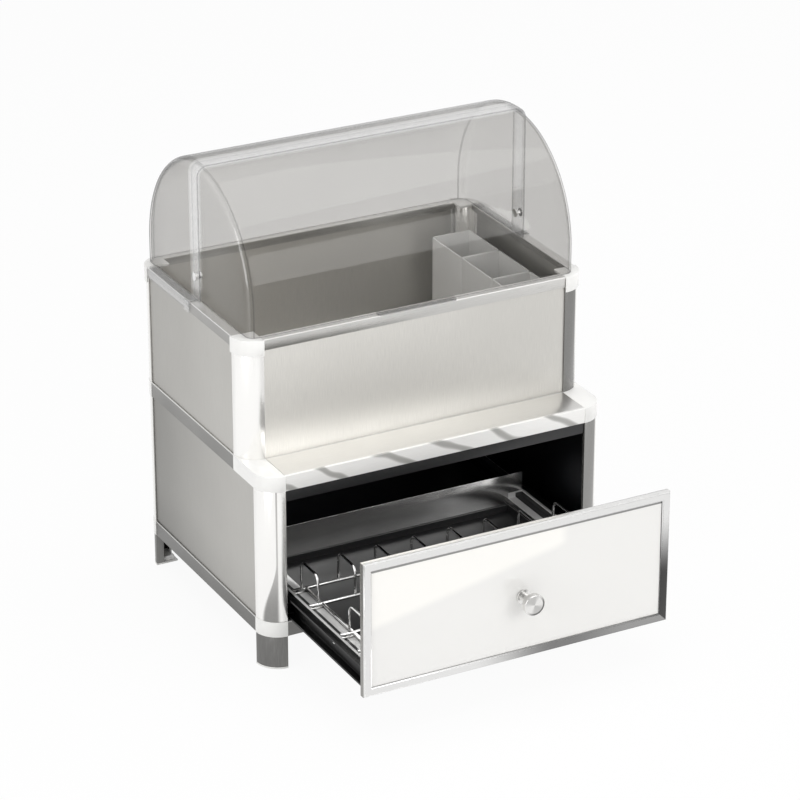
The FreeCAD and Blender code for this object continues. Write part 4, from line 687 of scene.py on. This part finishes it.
def smooth(mesh):
    """Shades every face of a mesh smoothly."""
    mesh.polygons.foreach_set("use_smooth", np.ones(len(mesh.polygons), bool))
    return mesh


def shifted(part, offsets):
    """Copies of a closed surface at a number of offsets."""
    points, quads, caps = part
    return [(points + offset, quads, caps) for offset in np.asarray(offsets, float)]


# Objects


def body_of(node):
    """Name of the body that carries a CAD node."""
    return next(b for b, members in frame["record"]["behaviour"]["bodies"].items() if node in members)


def add_piece(name, mesh, node, *finishes):
    """Object for a finished mesh that stands for a CAD node and rides on its body."""
    piece = bpy.data.objects.new(name, mesh)
    bpy.context.scene.collection.objects.link(piece)
    mesh.materials.clear()
    for finish in finishes or (finish_of(node),):
        mesh.materials.append(finish)
    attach(piece, body_of(node))
    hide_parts(node)
    return piece


def add_loose(name, mesh, body, finish):
    """Object for a small fitting that stands for no CAD node, riding on a body."""
    fitting = bpy.data.objects.new(name, mesh)
    bpy.context.scene.collection.objects.link(fitting)
    mesh.materials.append(finish)
    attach(fitting, body)
    return fitting


def soften(piece, width, segments=2, angle=30):
    """Rounds every edge sharper than the angle; flat faces keep their shading."""
    bevel = piece.modifiers.new("soft_edges", "BEVEL")
    bevel.width, bevel.segments = width, segments
    bevel.limit_method, bevel.angle_limit = "ANGLE", math.radians(angle)
    bevel.harden_normals = True
    return piece


# Pieces kept from the frame, some with rounded edges; widths in millimetres

EDGES = {
    "base_rail": 0.4, "ledge_rail": 0.4, "rim_rail": 0.4, "lower_post": 0.3, "upper_post": 0.3,
    "ledge_connectors": 0.6, "rim_caps": 0.6, "base_connectors": 0.6, "foot_pads": 0.3, "feet": 0.3,
    "ledge_plate": 0.25, "drawer_tray": 0.2, "drip_pan": 0.3, "utensil_holder": 0.4, "lid_pins": 0.3,
    "slide_channel": 0.25, "slide_rail": 0.25, "drawer_stop_strip": 0.5, "drawer_frame": 0.2,
}
REBUILT = ("rear_lid", "front_lid", "plate_rack", "bowl_rack", "drawer_knob", "slide_balls")
for node in sorted(set(frame["nodes"]) - set(REBUILT)):
    part = frame["nodes"][node]
    width = next((w for start, w in EDGES.items() if node.startswith(start)), None)
    if width is None:
        part.data.materials.clear()
        part.data.materials.append(finish_of(node))
    else:
        copy = smooth(merged(part.data.copy(), math.radians(1)))
        soften(add_piece(f"{node}_rounded", copy, node), width * MM)

# Racks

ALONG_X, ALONG_Y, ALONG_Z = np.eye(3)


def loop_wire(y, half, foot, top):
    """Upside-down U of wire in the plane X = 0."""
    corners = [(0, y - half, foot), (0, y - half, top), (0, y + half, top), (0, y + half, foot)]
    return tube(rounded(corners, LOOP_BEND), LOOP_WIRE, ALONG_X)


def loop_row(wire, first, last, number):
    """Even row of one wire along X."""
    return shifted(wire, np.linspace(first, last, number)[:, None] * ALONG_X)


def plate_rack():
    """Loops on two rods, with a bent frame under each end of the rods."""
    floor, y = TANK_HIGH[2], HINGE[1]
    level, near, far = floor + PLATE_ROD_HIGH, y - PLATE_HALF, y + PLATE_HALF
    wire = loop_wire(y, PLATE_HALF, level, level + PLATE_TALL)
    parts = loop_row(wire, PLATE_FIRST, PLATE_LAST, PLATE_LOOPS)
    for rod in (near, far):
        parts.append(tube([(PLATE_FIRST, rod, level), (PLATE_LAST, rod, level)], ROD, ALONG_Y))
    for x in (PLATE_FIRST, PLATE_LAST):
        corners = [(x, near, level), (x, near, floor + ROD), (x, far, floor + ROD), (x, far, level)]
        parts.append(tube(rounded(corners, PLATE_BEND), ROD, ALONG_X))
    return parts


def hairpin(y, side):
    """Hairpin foot under the left (-1) or right (1) end of a rod, flat on the tray's ledge."""
    bar, end = side * (BOWL_END - BAR_INSET), side * BOWL_END
    near, far = y - HAIRPIN_HALF, y + HAIRPIN_HALF
    path = rounded([(bar, far, 0), (end, far, 0), (end, near, 0), (bar, near, 0)], HAIRPIN_HALF * 0.999)
    return tube(path + ALONG_Z * (LEDGE_LEVEL + HAIRPIN_WIRE), HAIRPIN_WIRE, ALONG_Z)


def bowl_rack():
    """Two rows of loops on rod pairs, with side bars and hairpin feet."""
    level, bar_level = LEDGE_LEVEL + BOWL_ROD_HIGH, LEDGE_LEVEL + BOWL_BAR_HIGH
    rows = [TRAY_FRONT + row for row in BOWL_ROWS]
    parts = []
    for y in rows:
        wire = loop_wire(y, BOWL_HALF, level, level + BOWL_TALL)
        parts += loop_row(wire, BOWL_INSET - BOWL_END, BOWL_END - BOWL_INSET, BOWL_LOOPS)
        for rod in (y - BOWL_HALF, y + BOWL_HALF):
            parts.append(tube([(-BOWL_END, rod, level), (BOWL_END, rod, level)], ROD, ALONG_Y))
            parts += [hairpin(rod, side) for side in (-1, 1)]
    near, far = rows[0] - BOWL_HALF - HAIRPIN_HALF, rows[-1] + BOWL_HALF + HAIRPIN_HALF
    for x in (BAR_INSET - BOWL_END, BOWL_END - BAR_INSET):
        parts.append(tube([(x, near, bar_level), (x, far, bar_level)], ROD, ALONG_X))
    return parts


add_piece("plate_rack_wires", mesh_of("plate_rack_wires", plate_rack()), "plate_rack")
add_piece("bowl_rack_wires", mesh_of("bowl_rack_wires", bowl_rack()), "bowl_rack")

# Knob, slide balls and screws


def knob():
    """Turned knob: flat foot, straight neck and a disc head, a little hollow, with rounded edges."""
    foot, face = KNOB_HIGH[1], KNOB_LOW[1]
    head, back, brim = (KNOB_HIGH[0] - KNOB_LOW[0]) / 2, face + HEAD_THICK, FOOT_RADIUS - FOOT_EDGE
    t = np.linspace(0, np.pi / 2, 7)
    sine, cosine = np.sin(t), np.cos(t)
    foot_rows = [(foot, CAP_RADIUS), (foot, brim), (foot - FOOT_EDGE, FOOT_RADIUS),
                 (foot - FOOT_THICK + FOOT_EDGE, FOOT_RADIUS), (foot - FOOT_THICK, brim),
                 (foot - FOOT_THICK, NECK_RADIUS)]
    neck_rows = np.column_stack([back + NECK_BLEND * (1 - sine), NECK_RADIUS + NECK_BLEND * (1 - cosine)])
    back_rows = np.column_stack([back - BACK_EDGE * (1 - cosine), head - BACK_EDGE * (1 - sine)])
    edge_rows = np.column_stack([face + FACE_EDGE * (1 - sine), head - FACE_EDGE * (1 - cosine)])
    face_rows = [(face + FACE_HOLLOW / 2, head - FACE_RIM), (face + FACE_HOLLOW, CAP_RADIUS)]
    return turned(np.concatenate([foot_rows, neck_rows, back_rows, edge_rows, face_rows]), KNOB_CENTRE)


def slide_balls():
    """Three balls in each of the four races; a ball is rings of latitude about the Y axis."""
    low, high = corners_of("slide_balls")
    t = np.linspace(0.05, np.pi - 0.05, 10)
    ball = turned(np.stack([-BALL * np.cos(t), BALL * np.sin(t)], -1), (0, 0, 0), 16)
    places = [np.linspace(a + BALL, b - BALL, n) for a, b, n in zip(low, high, (2, 3, 2))]
    return shifted(ball, np.stack(np.meshgrid(*places), -1).reshape(-1, 3))


def channel_screws():
    """Low dome heads on the webs of the two drawer channels, two to a side."""
    low, high = corners_of("slide_channel_right")
    t = np.linspace(0, np.pi / 2, 8)
    dome = zip(SCREW_HIGH * np.sin(t), SCREW_TOP + (SCREW_RADIUS - SCREW_TOP) * np.cos(t))
    head = turned([(0, SCREW_TOP), (0, SCREW_RADIUS), *dome], (0, 0, 0), 24)
    points = head[0][:, [1, 0, 2]]
    places = [(low[0] + CHANNEL_WEB, low[1] + along, (low[2] + high[2]) / 2) for along in SCREW_PLACES]
    right = shifted((points, *outward(points, *head[1:])), places)
    mirror = np.array((-1, 1, 1))
    return right + [(spots * mirror, *outward(spots * mirror, quads, caps)) for spots, quads, caps in right]


screw_mesh = mesh_of("channel_screws", channel_screws())
add_loose("channel_screws", screw_mesh, body_of("slide_channel_right"), WIRE_STEEL)
soften(add_piece("knob_turned", mesh_of("knob_turned", [knob()]), "drawer_knob"), 0.15 * MM)
add_piece("slide_balls_round", mesh_of("slide_balls_round", slide_balls()), "slide_balls")

# Lids


def lid_face(radius, half, edge):
    """Grid of points over one side of a lid: rows from its bottom to its mouth, columns from end to end.

    A row's place on the side view is straight up at the radius, then on the circle about the hinge axis, past
    the top to the mouth. A column is x, a step in from that place and a share: the point is the share of the
    way from the mouth's line to the stepped place, so share 0..1 makes the flat end, and the steps
    edge * (1 - sin a) with x = edge * (1 - cos a) in from the end make the rounded edge.
    """
    stop = np.pi / 2 + math.asin(LID_PAST / radius)
    t = np.concatenate([np.zeros(3), np.linspace(0, np.pi / 2, 33)[1:], np.linspace(np.pi / 2, stop, 3)[1:]])
    drop = np.concatenate([np.linspace(LID_LOW, 0, 4)[:3], np.zeros(len(t) - 3)])
    place = np.stack([radius * np.cos(t), radius * np.sin(t) + drop], -1)
    inwards = -np.stack([np.maximum(np.cos(t), 0), np.where(t > np.pi / 2, 1, np.sin(t))], -1)
    crown = math.sqrt(radius ** 2 - LID_PAST ** 2) - edge
    mouth = np.stack([np.full(len(t), -LID_PAST), crown * np.sin(t / stop * np.pi / 2) + drop], -1)
    a = np.linspace(0, np.pi / 2, 8)
    x = np.concatenate([np.full(3, half), half - edge * (1 - np.cos(a))])
    step = np.concatenate([np.full(3, edge), edge * (1 - np.sin(a))])
    share = np.concatenate([[0, 0.35, 0.7], np.ones(8)])
    halves = ((-x, x[::-1]), (step, step[::-1]), (share, share[::-1]))
    x, step, share = (np.concatenate(pair) for pair in halves)
    stepped = place[:, None] + inwards[:, None] * step[None, :, None]
    view = mouth[:, None] * (1 - share[None, :, None]) + stepped * share[None, :, None]
    return np.concatenate([np.broadcast_to(x[None, :, None], view.shape[:2] + (1,)), view], -1)


def lid_shell(radius, half, edge, side):
    """Closed shell between an outer face and an inner one a wall's thickness in, with its rims."""
    outer = lid_face(radius, half, edge)
    inner = lid_face(radius - LID_WALL, half - LID_WALL, edge - LID_WALL)
    rows, columns = outer.shape[:2]
    spot = np.arange(rows * columns).reshape(rows, columns)
    quads = np.stack([spot[:-1, :-1], spot[:-1, 1:], spot[1:, 1:], spot[1:, :-1]], -1).reshape(-1, 4)
    loop = np.concatenate([spot[0], spot[1:, -1], spot[-1, -2::-1], spot[-2:0:-1, 0]])
    after, number = np.roll(loop, -1), rows * columns
    rims = np.stack([after, loop, loop + number, after + number], -1)
    quads = np.concatenate([quads, quads[:, ::-1] + number, rims])
    points = np.concatenate([outer, inner]).reshape(-1, 3) * (1, side, 1) + (0, HINGE[1], HINGE[2])
    return (points, *outward(points, quads, []))


def bend_values(mesh, half, edge):
    """Attribute "bend": from 0 on a lid's ends to 1 on its barrel, over the width of the rounded edge."""
    points = np.empty(3 * len(mesh.vertices))
    mesh.vertices.foreach_get("co", points)
    inset = np.clip((half - abs(points[::3])) / edge, 0, 1)
    turn = np.arccos(1 - inset) / (np.pi / 2)
    mesh.attributes.new("bend", "FLOAT", "POINT").data.foreach_set("value", turn)


def flange(side):
    """Bent sheet at one end of the rear lid: it leads out over the tank's rim and down its outside."""
    top, low, tip = (HINGE[2] + level for level in (LID_LOW, FLANGE_LOW, TAB_LOW))
    inside, front, mirror = REAR_HALF - LID_WALL, HINGE[1] + FLANGE_FRONT, np.array((side, 1))
    outline = [(inside, top), (FLANGE_IN, top), (FLANGE_IN, low), (FLANGE_OUT, low),
               (FLANGE_OUT, top + FLANGE_SHEET), (inside, top + FLANGE_SHEET)]
    tab = [(FLANGE_IN, tip), (FLANGE_OUT, tip), (FLANGE_OUT, top), (FLANGE_IN, top)]
    return [extruded(np.array(outline) * mirror, "xz", front, HINGE[1] + FLANGE_BACK),
            extruded(np.array(tab) * mirror, "xz", front, front + TAB_LONG)]


def finger_lip():
    """Flat lip on the front lid's lower edge, with two rounded corners."""
    near, far = HINGE[1] - FRONT_RADIUS + LIP_ROOT, HINGE[1] - FRONT_RADIUS - LIP_OUT
    corners = [(-LIP_HALF, near, 0), (-LIP_HALF, far, 0), (LIP_HALF, far, 0), (LIP_HALF, near, 0)]
    low = HINGE[2] + LID_LOW
    return extruded(rounded(corners, LIP_CORNER)[:, :2], "xy", low, low + LIP_THICK)


def lid_piece(node, parts, half, edge, side):
    """Lid with the sheet's finish, and the rim's on the faces in the plane of its mouth or of its bottom."""
    mesh = mesh_of(f"{node}_clear", parts)
    piece = add_piece(f"{node}_clear", mesh, node, CLEAR, CLEAR_RIM)
    bend_values(mesh, half, edge)
    centres = np.empty(3 * len(mesh.polygons))
    mesh.polygons.foreach_get("center", centres)
    _, y, z = (centres.reshape(-1, 3) - HINGE).T
    rim = (abs(z - LID_LOW) < 10 * MICRON) | (abs(side * y + LID_PAST) < 10 * MICRON)
    mesh.polygons.foreach_set("material_index", rim.astype(np.int32))
    return soften(piece, 0.35 * MM, angle=50)


rear_parts = [lid_shell(REAR_RADIUS, REAR_HALF, REAR_ROUND, 1), *flange(-1), *flange(1)]
front_parts = [lid_shell(FRONT_RADIUS, FRONT_HALF, FRONT_ROUND, -1), finger_lip()]
lid_piece("rear_lid", rear_parts, REAR_HALF, REAR_ROUND, 1)
lid_piece("front_lid", front_parts, FRONT_HALF, FRONT_ROUND, -1)

# Camera

AZIMUTH, ELEVATION = math.radians(-27.9), math.radians(24.6)
EYE, LENS, SENSOR = (-1.6406, -3.1666, 1.8496), 157.8, 36

camera = bpy.data.objects.new("camera", bpy.data.cameras.new("camera"))
camera.location = EYE
camera.rotation_euler = (math.pi / 2 - ELEVATION, 0, AZIMUTH)
camera.data.sensor_width = SENSOR
camera.data.lens = LENS
camera.data.clip_end = 50
bpy.context.scene.collection.objects.link(camera)
bpy.context.scene.camera = camera

# Lamps: place, width, height and watts; all face the cabinet's middle

MIDDLE = (0, 0, 0.25)
LAMPS = {
    "top_light": ((0.1, -0.2, 2.2), 2.2, 1.6, 15),
    "left_light": ((-2.2, -0.9, 1.1), 1.2, 1.8, 15),
    "front_light": ((0.9, -2.6, 1.3), 1.6, 1.4, 20),
    "right_light": ((2.4, 0.2, 1.0), 1.0, 1.6, 8),
}


def soft_box(name, place, width, height, watts):
    """Rectangular lamp that faces the cabinet's middle."""
    lamp = bpy.data.lights.new(name, "AREA")
    lamp.shape = "RECTANGLE"
    lamp.size, lamp.size_y = width, height
    lamp.energy = watts
    holder = bpy.data.objects.new(name, lamp)
    holder.location = place
    holder.rotation_euler = (Vector(MIDDLE) - Vector(place)).to_track_quat("-Z", "Y").to_euler()
    bpy.context.scene.collection.objects.link(holder)
    return holder


for name, lamp in LAMPS.items():
    soft_box(name, *lamp)

# World and floor


def studio_world(light_level):
    """World that is white to the camera and through glass, less so in metal, and softer as a light."""
    studio = Paint("studio", bpy.data.worlds.new("studio"), "ShaderNodeOutputWorld")
    straight, glossy, through = studio.rays("Camera", "Glossy", "Transmission")
    white = straight.larger(through).larger(glossy * 0.8)
    light = white.ramp(0, 1, light_level, 1.0)
    return studio.finish(studio.add("ShaderNodeBackground", None, {"Color": grey(1.0), "Strength": light}))


def floor_paint():
    """Pale floor: white to the camera and in metal and glass, with the object's own shadow kept in part."""
    paint = Paint("studio_floor")
    straight, glossy, through = paint.rays("Camera", "Glossy", "Transmission")
    white = straight.larger(through).larger(glossy)
    matte = paint.add("ShaderNodeBsdfDiffuse", None, {"Color": grey(0.92)})
    glow = paint.add("ShaderNodeEmission", None, {"Color": grey(1.0), "Strength": 1.0})
    return paint.finish(paint.mixed(white * 0.93, matte, glow))


bpy.context.scene.world = studio_world(0.55)

FLOOR_HALF, FLOOR_LEVEL = 6.0, -0.1 * MM
signs = ((-1, -1), (1, -1), (1, 1), (-1, 1))
floor_corners = [(x * FLOOR_HALF, y * FLOOR_HALF, FLOOR_LEVEL) for x, y in signs]
floor_mesh = bpy.data.meshes.new("studio_floor")
floor_mesh.from_pydata(floor_corners, [], [(0, 1, 2, 3)])
floor_mesh.materials.append(floor_paint())
floor = bpy.data.objects.new("studio_floor", floor_mesh)
bpy.context.scene.collection.objects.link(floor)

bpy.context.scene.view_settings.view_transform = "Standard"
